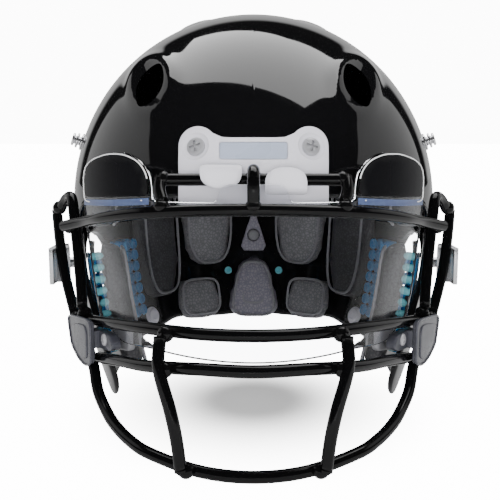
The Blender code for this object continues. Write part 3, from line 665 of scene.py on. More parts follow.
def round_ends(path, radius, steps=5):
    """The path with a dome of shrinking rings at each end."""
    heads = []
    for tip, inner in ((path[0], path[1]), (path[-1], path[-2])):
        way = (tip - inner).normalized()
        rings = []
        for s in range(1, steps + 1):
            angle = math.pi / 2 * s / steps
            lift = radius * 0.6 * (math.sin(angle) - 1.0)
            rings.append((tip + way * lift, max(0.04, math.cos(angle))))
        heads.append([(tip - way * radius * 0.6, 1.0)] + rings)
    front, back = heads
    body = path[1:-1]
    points = [p for p, r in reversed(front)] + body + [p for p, r in back]
    sizes = [r for p, r in reversed(front)] + [1.0] * len(body) + [r for p, r in back]
    return points, sizes


def copies(name, places, pattern, material, smooth=35.0):
    """Copies of a small pattern, (points, faces) in millimetres about its own origin.

    `places` lists (point, direction, size) with size a number or three of them.
    """
    verts, faces = pattern
    mesh = bpy.data.meshes.new(name + "_pattern")
    mesh.from_pydata([Vector(v) * 0.001 for v in verts], [], faces)
    work = bmesh.new()
    work.from_mesh(mesh)
    bmesh.ops.recalc_face_normals(work, faces=work.faces)
    work.to_mesh(mesh)
    work.free()
    shape = bpy.data.objects.new(name + "_pattern", mesh)
    bpy.context.scene.collection.objects.link(shape)
    spots = bpy.data.meshes.new(name + "_points")
    spots.from_pydata([world(p) for p, way, size in places], [], [])
    aims = spots.attributes.new("aim", "FLOAT_VECTOR", "POINT")
    sizes = spots.attributes.new("size", "FLOAT_VECTOR", "POINT")
    for k, (point, way, size) in enumerate(places):
        aims.data[k].vector = Vector(way).normalized()
        sizes.data[k].vector = Vector(size) if hasattr(size, "__len__") else Vector((size,) * 3)
    made = grow(name, spots, COPIES, smooth, Pattern=shape, Material=material)
    bpy.data.objects.remove(shape)
    return made


# ---------------------------------------------------------------- shell
RIM = [(0, 136), (15.5, 136), (31, 135), (46, 133), (58.5, 129), (66.5, 119), (70.5, 102),
       (67, 80), (61, 58), (57.5, 36), (56.5, 17), (61.5, 5), (71.5, 1.5), (84, 0.6), (95, 1.2),
       (106, 6), (119.5, 13), (134, 18), (147, 22), (180, 24)]
POLE = Vector((0.0, 0.62, 0.78)).normalized()
VENT_X = 59.5
VENT_Z = 198.0


def rim_opening(count):
    """Turn and tilt from the pole of `count` evenly spaced points on the shell's edge."""
    forward = (Vector((0, -1, 0)) + POLE * POLE.y).normalized()
    sideways = POLE.cross(forward)
    half = smooth_path([wall(*spot) for spot in RIM], 12)
    loop = half + [flip(p, -1) for p in reversed(half[1:-1])]
    polar = []
    for spot in loop:
        ray = (spot - Vector((0, 0, WIDEST))).normalized()
        polar.append((math.atan2(ray.dot(sideways), ray.dot(forward)) % (2 * math.pi),
                      POLE.angle(ray)))
    polar.sort()
    polar = [(polar[-1][0] - 2 * math.pi, polar[-1][1])] + polar
    polar.append((polar[1][0] + 2 * math.pi, polar[1][1]))
    result = []
    place = 0
    for k in range(count):
        swing = 2 * math.pi * k / count
        while polar[place + 1][0] < swing:
            place += 1
        (a, low), (b, high) = polar[place:place + 2]
        tilt = low + (high - low) * (swing - a) / max(b - a, 1e-9)
        result.append((forward * math.cos(swing) + sideways * math.sin(swing), tilt))
    return result


def vent_hood(point):
    """How far the shell swells out round its two front vents and over its crown vents."""
    if point.z < 150:
        return 0.0
    aside = abs(point.x)
    height = 0.0
    if point.y < 0:
        across = (aside - VENT_X) / 13.0
        along = (point.z - VENT_Z) / 16.0
        ring = (math.hypot(across, along) - 1.0) / 0.32
        height = 3.0 * math.exp(-ring * ring) * (0.35 + 0.65 / (1 + math.exp(-6 * along)))
    ring = (math.hypot((aside - 38) / 10.0, (point.y - 10) / 27.0) - 1.0) / 0.3
    return height + 1.1 * math.exp(-ring * ring)


def shell_solid(count, rings):
    """Points and faces of the shell with a rounded edge."""
    edge = rim_opening(count)
    half = WALL / 2
    slack = half / 150.0
    profile = [(r / rings, 0.0, 0.0) for r in range(1, rings + 1)]
    for s in range(1, 8):
        angle = math.pi * s / 8
        profile.append((1.0, math.sin(angle) * slack, half - half * math.cos(angle)))
    profile += [(r / rings, 0.0, WALL) for r in range(rings, 0, -1)]
    verts = [along_ray(POLE, 0.0)]
    for share, extra, depth in profile:
        for level, tilt in edge:
            angle = (tilt - slack) * share + extra
            ray = POLE * math.cos(angle) + level * math.sin(angle)
            spot = along_ray(ray, depth)
            if depth == 0.0:
                spot = spot + outward(spot) * vent_hood(spot)
            verts.append(spot)
    last = len(verts)
    verts.append(along_ray(POLE, WALL))
    faces = []
    for c in range(count):
        d = (c + 1) % count
        faces.append((0, 1 + d, 1 + c))
        faces.append((last, last - count + c, last - count + d))
    for r in range(len(profile) - 1):
        base = 1 + r * count
        for c in range(count):
            d = (c + 1) % count
            faces.append((base + c, base + d, base + count + d, base + count + c))
    return verts, faces


def straight_hole(outline, place):
    """A long prism with the outline, `place` putting (point, end) where it belongs."""
    count = len(outline)
    verts = [place(p, end) for end in (0, 1) for p in outline]
    faces = [tuple(range(count)), tuple(range(2 * count - 1, count - 1, -1))]
    faces += [(k, (k + 1) % count, (k + 1) % count + count, k + count) for k in range(count)]
    return verts, faces


def oval(centre, half, tilt=0.0, steps=40, pinch=0.0):
    """An oval outline, turned by `tilt` degrees and pinched at its ends."""
    lean = math.radians(tilt)
    points = []
    for k in range(steps):
        angle = 2 * math.pi * k / steps
        a = half[0] * math.cos(angle) * (1 - pinch * math.sin(angle) ** 2)
        b = half[1] * math.sin(angle)
        points.append((centre[0] + a * math.cos(lean) - b * math.sin(lean),
                       centre[1] + a * math.sin(lean) + b * math.cos(lean)))
    return points


def keep_surface_shine(thing, mesh_before):
    """Give a cut shell the smooth normals that it had before its holes were cut."""
    mesh_before.shade_smooth()
    corners = [v.co for v in mesh_before.vertices]
    faces = [tuple(p.vertices) for p in mesh_before.polygons]
    tree = BVHTree.FromPolygons(corners, faces)
    mesh = thing.data
    found = {}
    for vert in mesh.vertices:
        spot, normal, index, away = tree.find_nearest(vert.co)
        weights = poly_3d_calc([corners[i] for i in faces[index]], spot)
        mix = Vector((0, 0, 0))
        for weight, i in zip(weights, faces[index]):
            mix += mesh_before.vertices[i].normal * weight
        found[vert.index] = mix.normalized()
    normals = []
    for polygon in mesh.polygons:
        for i in polygon.vertices:
            surface = found[i]
            normals.append(surface if surface.dot(polygon.normal) > 0.75 else polygon.normal)
    mesh.normals_split_custom_set([tuple(n) for n in normals])


def shell():
    """The gloss shell with its ear holes and vents."""
    count, rings = ((240, 84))
    before = mesh_of("shell_skin", *shell_solid(count, rings))
    thing = make("shell_skin", before.copy(), SHELL_BLACK, 0)
    for side, word in SIDES:
        ear = [(y * (1 - 0.004 * (z - 77)) + 0.064 * (z - 77), z)
               for y, z in oval((16, 77), (30, 25), steps=64)]
        cut(thing, straight_hole(ear, lambda p, end: (side * (90 + 50 * end), p[0], p[1])))
        vent = oval((VENT_X, VENT_Z), (8.0, 13.5), tilt=22, pinch=0.25)
        cut(thing, straight_hole(vent, lambda p, end: (side * p[0], -60 - 80 * end, p[1])))
        crown = oval((38, 10), (6, 22))
        cut(thing, straight_hole(crown, lambda p, end: (side * p[0], p[1], 200 + 70 * end)))
        spot = front_face(EAR_X * side, SCREW_Z)
        cut(thing, turned(spot - outward(spot) * 12, outward(spot),
                          [(0, 0), (2.9, 0), (2.9, 24), (0, 24)], 24))
    keep_surface_shine(thing, before)
    finish(thing, "helmet", "shell_black", "shell")


# ---------------------------------------------------------------- brow bumper
def bumper_skin(x, z, out):
    """The bumper's surface, which steps back where the guard's top bar runs."""
    step = min(1.0, max(0.0, (HINGE_Z + 8 - z) / 5.0))
    sink = 1.6 * step * step * (3 - 2 * step) * max(0.0, out - BUMPER_BASE) / 3.3
    return front_face(x, z, out - sink)


def bumper_outline():
    """The bumper in front view: a band with a round ear at each screw."""
    half = [(0.0, BUMPER_LOW), (BUMPER_HALF - 4, BUMPER_LOW)]
    for k in range(7):
        angle = math.radians(-90 + 15 * k)
        half.append((BUMPER_HALF - 4 + 4 * math.cos(angle), BUMPER_LOW + 4 + 4 * math.sin(angle)))
    for k in range(24):
        angle = math.radians(6 * k)
        half.append((EAR_X + EAR_RADIUS * math.cos(angle),
                     SCREW_Z + EAR_LIFT + EAR_RADIUS * math.sin(angle)))
    half += [(18.6, BUMPER_HIGH + 1.0), (16.5, BUMPER_HIGH + 0.2), (12.0, BUMPER_HIGH)]
    left = [(-x, z) for x, z in reversed(half[1:])]
    return half + [(0.0, BUMPER_HIGH)] + left


def hook(side, base_z, tip_z):
    """A tongue that leaves the bumper, turns down or up in front of the top bar and ends round."""
    rise = 1 if tip_z > base_z else -1
    thick = HOOK_THICKNESS
    front = HINGE_Y - HOOK_REACH + thick / 2
    level = base_z + rise * thick / 2
    bend = 2.6
    line = [(HINGE_Y + 8.0, level), (HINGE_Y + 2.0, level), (front + bend, level)]
    for k in range(1, 7):
        angle = math.pi / 2 * k / 6
        line.append((front + bend - bend * math.sin(angle),
                     level + rise * (bend - bend * math.cos(angle))))
    span = tip_z - line[-1][1]
    turn_z = line[-1][1]
    line += [(front, turn_z + span * math.sin(math.pi / 2 * k / 16)) for k in range(1, 17)]
    half_width = 10.7
    middle = 16.6
    columns = 18
    round_from = 9.0
    skins = []
    for out in (0.0, 1.0):
        rows = []
        for k, (y, z) in enumerate(line):
            ahead = Vector(line[min(k + 1, len(line) - 1)]) - Vector(line[max(k - 1, 0)])
            ahead.normalize()
            square = Vector((-ahead.y, ahead.x)) * rise
            left = abs(tip_z - z) if k > 8 else round_from
            share = min(1.0, (round_from - left) / round_from) if left < round_from else 0.0
            half = half_width * max(0.03, 1 - share ** 2.6) ** (1 / 2.6)
            row = []
            for c in range(columns + 1):
                across = 2 * c / columns - 1
                soft = thick / 2 * (1 - 0.55 * abs(across) ** 12) * (1 - 0.35 * share ** 8)
                offset = square * (soft if out else -soft)
                row.append(Vector((side * (middle + half * across), y + offset.x, z + offset.y)))
            rows.append(row)
        skins.append(rows)
    verts = [p for rows in skins for row in rows for p in row]
    rows, cols = len(line), columns + 1
    shift = rows * cols
    faces = []
    for r in range(rows - 1):
        for c in range(cols - 1):
            a = r * cols + c
            faces.append((a, a + 1, a + 1 + cols, a + cols))
            faces.append((a + shift, a + cols + shift, a + 1 + cols + shift, a + 1 + shift))
    loop = [(0, c, 0, c + 1) for c in range(cols - 1)]
    loop += [(rows - 1, c, rows - 1, c + 1) for c in range(cols - 1)]
    loop += [(r, 0, r + 1, 0) for r in range(rows - 1)]
    loop += [(r, cols - 1, r + 1, cols - 1) for r in range(rows - 1)]
    for r1, c1, r2, c2 in loop:
        a, b = r1 * cols + c1, r2 * cols + c2
        faces.append((a, b, b + shift, a + shift))
    return verts, faces


def phillips(radius, rise):
    """A domed screw head with a cross slot, (points, faces) about its own seat."""
    dome = [(0, -0.3), (radius, -0.3), (radius, rise * 0.45), (radius * 0.93, rise * 0.72),
            (radius * 0.72, rise * 0.92), (radius * 0.4, rise), (0, rise * 1.02)]
    head = bpy.data.objects.new("head", mesh_of("head", *turned((0, -BACK_SHIFT, 0), (0, 0, 1), dome,
                                                                36)))
    bpy.context.scene.collection.objects.link(head)
    long, thin = radius * 0.62, radius * 0.13
    for a, b in ((long, thin), (thin, long)):
        slot = [(-a, -b), (a, -b), (a, b), (-a, b)]
        cut(head, straight_hole(slot, lambda p, end: (p[0], p[1] - BACK_SHIFT,
                                                      rise * (0.35 + 1.0 * end))))
    verts = [v.co * 1000 for v in head.data.vertices]
    faces = [tuple(p.vertices) for p in head.data.polygons]
    bpy.data.objects.remove(head)
    return verts, faces


def brow_bumper():
    """The white bumper, its hooks, plain name plate, screws and T-nuts."""
    plate = moulding(bumper_outline(), BUMPER_BASE, BUMPER_FACE, 1.0, 3.0, bumper_skin)
    body = make("brow_bumper_skin", mesh_of("brow_bumper_skin", *plate), BUMPER_WHITE, 40)
    low = NAMEPLATE_LOW
    high = NAMEPLATE_HIGH
    frame_line = rounded([(-18.2, low), (18.2, low), (18.2, high), (-18.2, high)], 1.6)
    cut(body, moulding(frame_line, BUMPER_FACE - 1.4, BUMPER_FACE + 3, 0, 6.0, front_face))
    spots = []
    for side, word in SIDES:
        spot = front_face(EAR_X * side, SCREW_Z)
        spots.append(spot)
        cut(body, turned(spot, outward(spot),
                         [(0, -6), (2.9, -6), (2.9, 2.5), (5.6, 2.5), (7.4, 3.6), (8.2, 4.8),
                          (8.2, 12), (0, 12)], 48))
    make_smooth(body, 34)
    finish(body, "helmet", "bumper_white", "brow_bumper")
    hooks = joined(hook(-1, *HOOK_RIGHT), hook(1, *HOOK_LEFT))
    piece("bumper_hooks", hooks, BUMPER_WHITE, "helmet", "bumper_white", smooth=50)
    inset = rounded([(-17.8, low + 0.4), (17.8, low + 0.4), (17.8, high - 0.4), (-17.8, high - 0.4)],
                    1.4)
    sign = moulding(inset, BUMPER_FACE - 1.3, BUMPER_FACE - 0.3, 0.25, 4.0, front_face)
    piece("nameplate_skin", sign, PLATE_GREY, "helmet", "plate_grey", "bumper_nameplate",
          smooth=35)
    heads = [(spot + outward(spot) * 2.6, outward(spot), 1.0) for spot in spots]
    heads = copies("bumper_screws", heads, phillips(5.0, 2.4), SCREW_ZINC)
    finish(heads, "helmet", "chrome", "bumper_screw_left", "bumper_screw_right")
    nut = [(2.4, -6.7), (7.6, -6.7), (8.1, -6.4), (8.1, -5.7), (7.6, -5.3), (4.0, -5.2),
           (2.4, -5.4), (2.4, -6.7)]
    nuts = [(spot, outward(spot), 1.0) for spot in spots]
    nuts = copies("bumper_t_nuts", nuts, turned((0, 0, 0), (0, 0, 1), nut), CHROME)
    finish(nuts, "helmet", "chrome", "bumper_t_nut_left", "bumper_t_nut_right")


def make_smooth(thing, angle):
    """Shade smooth, with edges kept sharp above an angle in degrees."""
    thing.data.shade_smooth()
    thing.data.set_sharp_from_angle(angle=math.radians(angle))


# ---------------------------------------------------------------- studs and nape bumper
def strap_studs():
    """The four snap studs for a chin strap, a foot, a neck and a head with a ring."""
    spool = [(0, 0.3), (5.4, 0.3), (5.6, 0.5), (5.6, 1.1), (5.0, 1.5), (3.2, 1.8), (2.8, 2.1),
             (2.8, 2.9), (3.2, 3.2), (4.7, 3.3), (4.9, 3.6), (4.9, 4.3), (4.5, 4.6), (2.9, 4.8),
             (2.6, 5.1), (2.8, 5.6), (3.9, 5.9), (4.2, 6.2), (4.2, 7.0), (3.8, 7.4), (2.4, 7.4),
             (2.0, 7.1), (0, 6.9)]
    places = []
    for side, word in SIDES:
        for y, z in STUD_SPOTS:
            spot = flip(side_face(y, z), side)
            places.append((spot, outward(spot), 1.0))
    studs = copies("strap_studs", places, turned((0, 0, 0), (0, 0, 1), spool), CHROME, 30)
    finish(studs, "helmet", "chrome", "strap_stud_upper_left", "strap_stud_upper_right",
           "strap_stud_lower_left", "strap_stud_lower_right")


def nape_bumper():
    """The rear bumper over the nape edge, with its two screws."""
    outline = rounded([(-30, 31), (-26, 27), (26, 27), (30, 31), (29, 56), (24, 60), (-24, 60),
                       (-29, 56)], 6.0)
    body = moulding(outline, 0.8, 4.0, 1.2, 3.0, lambda t, z, out: wall(180 + t, z, -out))
    piece("nape_bumper_skin", body, SHELL_BLACK, "helmet", "shell_black", "nape_bumper")
    ridges = []
    for z in (35.0, 43.5, 52.0):
        ridges.append([wall(180 + t, z, -4.0) for t in range(-19, 20)])
    finish(tubes("nape_ridges", ridges, 0.8, SHELL_BLACK, 12), "helmet", "shell_black")
    places = []
    for turn in (157, 203):
        spot = wall(turn, 43.5, -3.8)
        places.append((spot, outward(spot), 1.0))
    heads = copies("nape_screws", places, phillips(4.2, 1.8), SCREW_ZINC)
    finish(heads, "helmet", "chrome")


# ---------------------------------------------------------------- face guard
def on_lens(stations, out=WIRE_OFFSET):
    """Wire centre line through (x, z) stations in front of the shield."""
    return [lens(x, z, out) for x, z in stations]


def guard_paths():
    """Centre lines of the guard's wires, by name."""
    paths = {"top_bar": [(-TOP_BAR_HALF, HINGE_Y, HINGE_Z), (0, HINGE_Y, HINGE_Z),
                         (TOP_BAR_HALF, HINGE_Y, HINGE_Z)]}
    paths["brow_bar"] = both_ends(on_lens([(0, 132.2), (20, 131.9), (40, 130.9), (60, 128.8),
                                           (78, 125), (92, 120.8)]) + [(111, -92.5, 116.6)])
    paths["centre_post"] = [(0, -157.2, 149.4), (0, -162.5, 151.2), (0, -168, 151.4),
                            (0, -172.6, 149), (0, -173.6, 143), (0, -172.9, 136.2)]
    paths["upper_mouth_bar"] = both_ends(on_lens([(0, 74), (24, 73.6), (48, 72.2), (68, 69.4),
                                                  (80, 66.8), (90, 63.8), (99, 60.8)]))
    paths["lower_mouth_bar"] = both_ends(on_lens([(0, 58.4), (24, 57.8), (38, 55.8), (52, 53),
                                                  (66, 50.2), (78, 46.6), (83, 45)], 4.6))
    paths["chin_bar"] = both_ends([(0, -195, WIRE_RADIUS), (26.4, -190.6, 4.5), (52.5, -175, 8),
                                   (64.9, -161.7, 10.6), (75.2, -146.7, 14.6),
                                   (81.9, -134.5, 19.5), (87.6, -124, 27), (91.4, -114, 38),
                                   (97, -102, 47.5), (106.4, -80.8, 56.6)])
    for side, word in SIDES:
        paths[f"outer_side_bar_{word}"] = [(109.2, -75.6, 61.6), (112.6, -70, 70),
                                           (117.4, -64, 86), (120.4, -60.5, 104),
                                           (122.3, -58, 123.5)]
        paths[f"inner_side_bar_{word}"] = [(99.6, -101.5, 70), (100.8, -98, 84),
                                           (103.2, -92, 102), (105.8, -86, 118),
                                           (107.9, -81, 130), (110.4, -75.5, 132.8),
                                           (114.4, -69, 130.6), (117.6, -64.4, 126.4)]
        paths[f"short_post_{word}"] = [(47.9, HINGE_Y + 0.4, HINGE_Z + 1.0), (48.0, -158.6, 141.5),
                                       (46.2, -162.6, 136.2)]
        paths[f"long_vertical_{word}"] = [lens(38.5, 71.5, 11.2), lens(38.0, 57, 11.8),
                                          (40.3, -195.2, 36.5), (37.3, -196.0, 22),
                                          (35.4, -195.6, 6.2)]
        for stem in ("outer_side_bar", "inner_side_bar", "short_post", "long_vertical"):
            paths[f"{stem}_{word}"] = [flip(p, side) for p in paths[f"{stem}_{word}"]]
    return {name: smooth_path(points, 12) for name, points in paths.items()}


def face_guard():
    """The powder-coated wires and a bead of weld wherever two of them meet."""
    paths = guard_paths()
    finish(tubes("guard_wires", list(paths.values()), WIRE_RADIUS, WIRE_BLACK, 24), "face_guard",
           "wire_black", *paths)
    names = sorted(paths)
    welds = []
    near = WIRE_RADIUS * 2 + 3.2
    for k, name in enumerate(names):
        for other in names[k + 1:]:
            gap, a, b = min((((p - q).length, p, q) for p in paths[name] for q in paths[other]),
                            key=lambda item: item[0])
            if gap < near:
                welds.append(((a + b) / 2, b - a, (1.0, 1.0, 0.55 + gap / 20)))
    ball = [(0, -4.3)] + [(4.3 * math.cos(t), 4.3 * math.sin(t))
                          for t in (math.pi * k / 12 - math.pi / 2 for k in range(1, 12))] + [(0, 4.3)]
    beads = copies("guard_welds", welds, turned((0, 0, 0), (0, 0, 1), ball, 24), WIRE_BLACK, 60)
    finish(beads, "face_guard", "wire_black")


# ---------------------------------------------------------------- eye shield
LENS_LEFT = [(26, 60.8), (51.8, 60.6), (66, 58.4), (72, 58), (88, 66), (91.5, 80),
             (96, 110), (98, 124), (98.3, 146), (96, 152.5), (90, 156.5), (79, 159.8),
             (68, 160.2), (59, 156.5), (53.8, 150), (52.4, 143), (52.4, 135.2), (18.5, 135.4),
             (17.5, 141.5), (14, 144.6)]


def lobe(inset, floor_in, floor_out):
    """A side lobe of the shield, set in from its edge and cut off along a sloping floor."""
    inner, outer = 52.9 + inset, 98.2 - inset
    top = 160.0 - inset
    line = [(inner, floor_in), (outer - 0.4, floor_out), (outer, 140), (outer, 146)]
    for x, z in ((96, 152.5), (90, 156.5), (79, 159.8), (68, 160.2), (59, 156.5), (54.2, 150)):
        line.append((x + (75 - x) * inset / 24, min(top, z - inset * 0.9)))
    return line


def eye_shield():
    """The clear shield with its printed lobes, their thin outlines and the strips below them."""
    outline = rounded(LENS_LEFT + [(-x, z) for x, z in reversed(LENS_LEFT)], 3.0, 4)
    sheet = moulding(outline, -LENS_THICKNESS, 0.0, 0.5, 5.0, lens)
    body = make("eye_shield_skin", mesh_of("eye_shield_skin", *sheet), CLEAR, 40)
    for side, word in SIDES:
        spot, axis = clip_screw_place(side)
        cut(body, turned(spot, axis, [(0, -8), (2.5, -8), (2.5, 5), (0, 5)], 24))
    make_smooth(body, 30)
    finish(body, "face_guard", "clear", "eye_shield")
    for side, word in SIDES:
        def outside(x, z, out, side=side):
            return flip(lens(x, z, out), side)

        black = moulding(rounded(lobe(1.2, 138.2, 134.4), 3.5, 5), 0.04, 0.24, 0, 3.0, outside)
        piece(f"shield_print_{word}", black, PRINT_BLACK, "face_guard", "clip_dark", smooth=35)
        strip = [(53.9, 133.6), (97.2, 129.4), (97.2, 132.8), (53.9, 137.0)]
        strip = moulding(strip, 0.04, 0.24, 0, 3.0, outside)
        piece(f"shield_strip_{word}", strip, STRIP_BLUE, "face_guard", "cell_blue", smooth=35)
        edge = rounded(lobe(0.7, 136.0, 131.5), 4.0, 5)
        open_edge = [outside(p[0], p[1], 0.22) for p in edge[5:-1] if p[1] > 131]
        line = tubes(f"shield_line_{word}", [open_edge], 0.35, PRINT_WHITE, 8)
        finish(line, "face_guard", "bumper_white")


# ---------------------------------------------------------------- shield clips
def clip_screw_place(side):
    """Where a shield clip's screw crosses the shield's outer face, and its direction."""
    spot = lens(*CLIP_SCREW)
    axis = lens(*CLIP_SCREW, 1.0) - spot
    return flip(spot, side), flip(axis, side).normalized()


def shield_clips():
    """The two-piece clips: a cheek over the wires, a tongue with the screw, and a back half."""
    cheek = rounded([(99.5, 60), (98.5, 63.5), (91, 66), (82, 67.8), (79.5, 66), (79.5, 44),
                     (84, 40.5), (90, 41.5), (97, 47)], 2.6)
    panel = rounded([(96.4, 59), (90, 62.6), (83.5, 64.2), (82.2, 60), (82.2, 46), (85, 43.6),
                     (89.4, 44.4), (94.4, 49)], 2.4)
    tongue = rounded([(83, 61.6), (73, 61.9), (70.5, 58), (70.5, 55), (73, 52.6), (83, 51.4)], 1.8)
    bridge = rounded([(85, 61.6), (79.9, 61.9), (79.9, 51.7), (85, 51.3)], 0.8)
    back = rounded([(84, 56), (83, 66), (74, 69), (70, 66), (70, 53), (80, 50)], 2.6)
    heads = []
    for side, word in SIDES:
        def layer(x, z, out, side=side):
            return flip(lens(x, z, out), side)

        spot, axis = clip_screw_place(side)
        heads.append((spot + axis * 5.6, axis, 1.0))
        front = joined(moulding(cheek, 9.0, 11.8, 0.9, 3.0, layer),
                       moulding(panel, 11.2, 12.5, 0.5, 3.0, layer),
                       moulding(bridge, 2.0, 10.5, 0.4, 3.0, layer),
                       moulding(tongue, 0.5, 6.4, 0.9, 3.0, layer))
        piece(f"shield_clip_front_{word}_skin", front, CLIP_DARK, "face_guard", "clip_dark",
              f"shield_clip_front_{word}")
        trim = [layer(p[0], p[1], 11.7) for p in cheek]
        trim = tubes(f"shield_clip_trim_{word}", [trim], 0.8, CLIP_DARK, 12, closed=True)
        finish(trim, "face_guard", "clip_dark")
        rear = moulding(back, -7.2, -3.0, 1.0, 3.0, layer)
        piece(f"shield_clip_back_{word}_skin", rear, PIPING, "face_guard", "clip_dark",
              f"shield_clip_back_{word}")
    heads = copies("shield_clip_screws", heads, phillips(3.4, 2.0), SCREW_ZINC)
    finish(heads, "face_guard", "chrome", "shield_clip_screw_left", "shield_clip_screw_right")


# ---------------------------------------------------------------- side clips
def side_clips():
    """The silver quick-release clips with grip ribs, their push buttons and the studs they hold."""
    for side, word in SIDES:
        finish(refined(f"side_clip_{word}", CLIP_SILVER, 0.6), "face_guard", "clip_silver",
               f"side_clip_{word}")
        finish(refined(f"release_button_{word}", CLIP_DARK, 0.3), f"release_button_{word}",
               "clip_dark", f"release_button_{word}")
        finish(refined(f"guard_stud_{word}", CHROME, 0.3), "helmet", "chrome",
               f"guard_stud_{word}")
        ribs = []
        for k in range(5):
            z = 81.5 + 3.5 * k
            ribs.append([(side * 127.9, y, z) for y in (-57.5, -55, -52.5)])
        ribs = tubes(f"side_clip_ribs_{word}", ribs, 0.6, CLIP_SILVER, 10)
        finish(ribs, "face_guard", "clip_silver")


# ---------------------------------------------------------------- cushions
def swell(work_object, cap):
    """Blow a closed mesh up with cloth pressure, no point moving further than `cap` mm."""
    start = [v.co.copy() for v in work_object.data.vertices]
    cloth = work_object.modifiers.new("Cloth", "CLOTH")
    cloth.settings.quality = 5
    cloth.settings.mass = 0.15
    cloth.settings.tension_stiffness = 12
    cloth.settings.compression_stiffness = 12
    cloth.settings.shear_stiffness = 5
    cloth.settings.bending_stiffness = 0.3
    cloth.settings.use_pressure = True
    cloth.settings.uniform_pressure_force = 4.0
    cloth.settings.effector_weights.gravity = 0.0
    scene = bpy.context.scene
    for step in range(1, 21):
        scene.frame_set(step)
    graph = bpy.context.evaluated_depsgraph_get()
    grown = work_object.evaluated_get(graph).to_mesh()
    moved = [v.co.copy() for v in grown.vertices]
    work_object.modifiers.clear()
    scene.frame_set(1)
    for vert, old, new in zip(work_object.data.vertices, start, moved):
        step = new - old
        if step.length > cap * 0.001:
            step *= cap * 0.001 / step.length
        vert.co = old + step


def cushion(name, material, slot, cap=5.0, shrink=2.2, voxel=4.5):
    """A stuffed cushion grown from the space its CAD solid holds."""
    work = cad_copy(name)
    mesh = bpy.data.meshes.new(name + "_cushion")
    work.to_mesh(mesh)
    work.free()
    thing = make(name + "_cushion", mesh, material, 0)
    remesh = thing.modifiers.new("Remesh", "REMESH")
    remesh.mode = "VOXEL"
    remesh.voxel_size = voxel * 0.001
    apply_modifiers(thing)
    for vert, normal in [(v, v.normal.copy()) for v in thing.data.vertices]:
        vert.co -= normal * shrink * 0.001
    swell(thing, cap)
    work = bmesh.new()
    work.from_mesh(thing.data)
    for turn in range(2):
        bmesh.ops.smooth_vert(work, verts=work.verts, factor=0.5, use_axis_x=True, use_axis_y=True,
                              use_axis_z=True)
    work.to_mesh(thing.data)
    work.free()
    thing.data.shade_smooth()
    finer = thing.modifiers.new("Subdivision", "SUBSURF")
    finer.levels = 1
    finer.render_levels = 1
    apply_modifiers(thing)
    thing.data.materials.clear()
    thing.data.materials.append(material)
    finish(thing, "helmet", slot, name)
    return thing


def pad_loop(turns, levels, depth, power=4.0, taper=0.0, side=1, scale=0.9):
    """A loop round a cushion's inner face."""
    turn_mid, turn_half = (turns[0] + turns[1]) / 2, (turns[1] - turns[0]) / 2
    level_mid, level_half = (levels[0] + levels[1]) / 2, (levels[1] - levels[0]) / 2
    loop = []
    for k in range(72):
        angle = 2 * math.pi * k / 72
        c, s = math.cos(angle), math.sin(angle)
        reach = scale / (abs(c) ** power + abs(s) ** power) ** (1 / power)
        squeeze = 1.0 - taper * (s * reach + 1.0) / 2
        spot = wall(turn_mid + turn_half * c * reach * squeeze, level_mid + level_half * s * reach,
                    depth)
        loop.append(flip(spot, side))
    return loop


# turns, levels, depth, squareness and taper of each cushion face that has piping
PIPED_FACES = (((139, 164), (25, 57), 19.4, 4.0, 0.05),
               ((145, 171), (60, 150), 21.4, 3.0, 0.0),
               ((118, 142), (40, 150), 23.4, 3.4, 0.0),
               ((62, 114), (106, 166), 24.4, 4.0, 0.0),
               ((63, 84), (12, 104), 28.4, 4.0, 0.0))


def cushions():
    """All the cushions, and the piping that runs round the faces that meet the head."""
    cushion("brow_pad", PAD_DARK, "pad_dark")
    cushion("crown_pad", PAD_DARK, "pad_dark")
    cushion("rear_centre_pad", PAD_GREY, "pad_grey", voxel=3.5, shrink=1.4)
    loops = [pad_loop((163.5, 196.5), (19.5, 71), 20.6, taper=0.55, scale=0.82),
             pad_loop((168, 192), (27, 62), 20.8, taper=0.6, scale=0.6)]
    for side, word in SIDES:
        for stem in ("rear_lower_pad", "rear_upper_pad", "temple_pad", "side_pad", "jaw_pad"):
            # painted light: rear cushions take the lighter copy of the cushion skin, the rest the
            # charcoal one
            skin = PAD_LIT_COPY if stem.startswith("rear") else PAD_DARK
            cushion(f"{stem}_{word}", skin, "pad_dark")
        for face in PIPED_FACES:
            loops.append(pad_loop(*face, side=side, scale=0.84))
    finish(tubes("cushion_piping", loops, 1.0, PIPING, 12, closed=True), "helmet", "pad_dark")


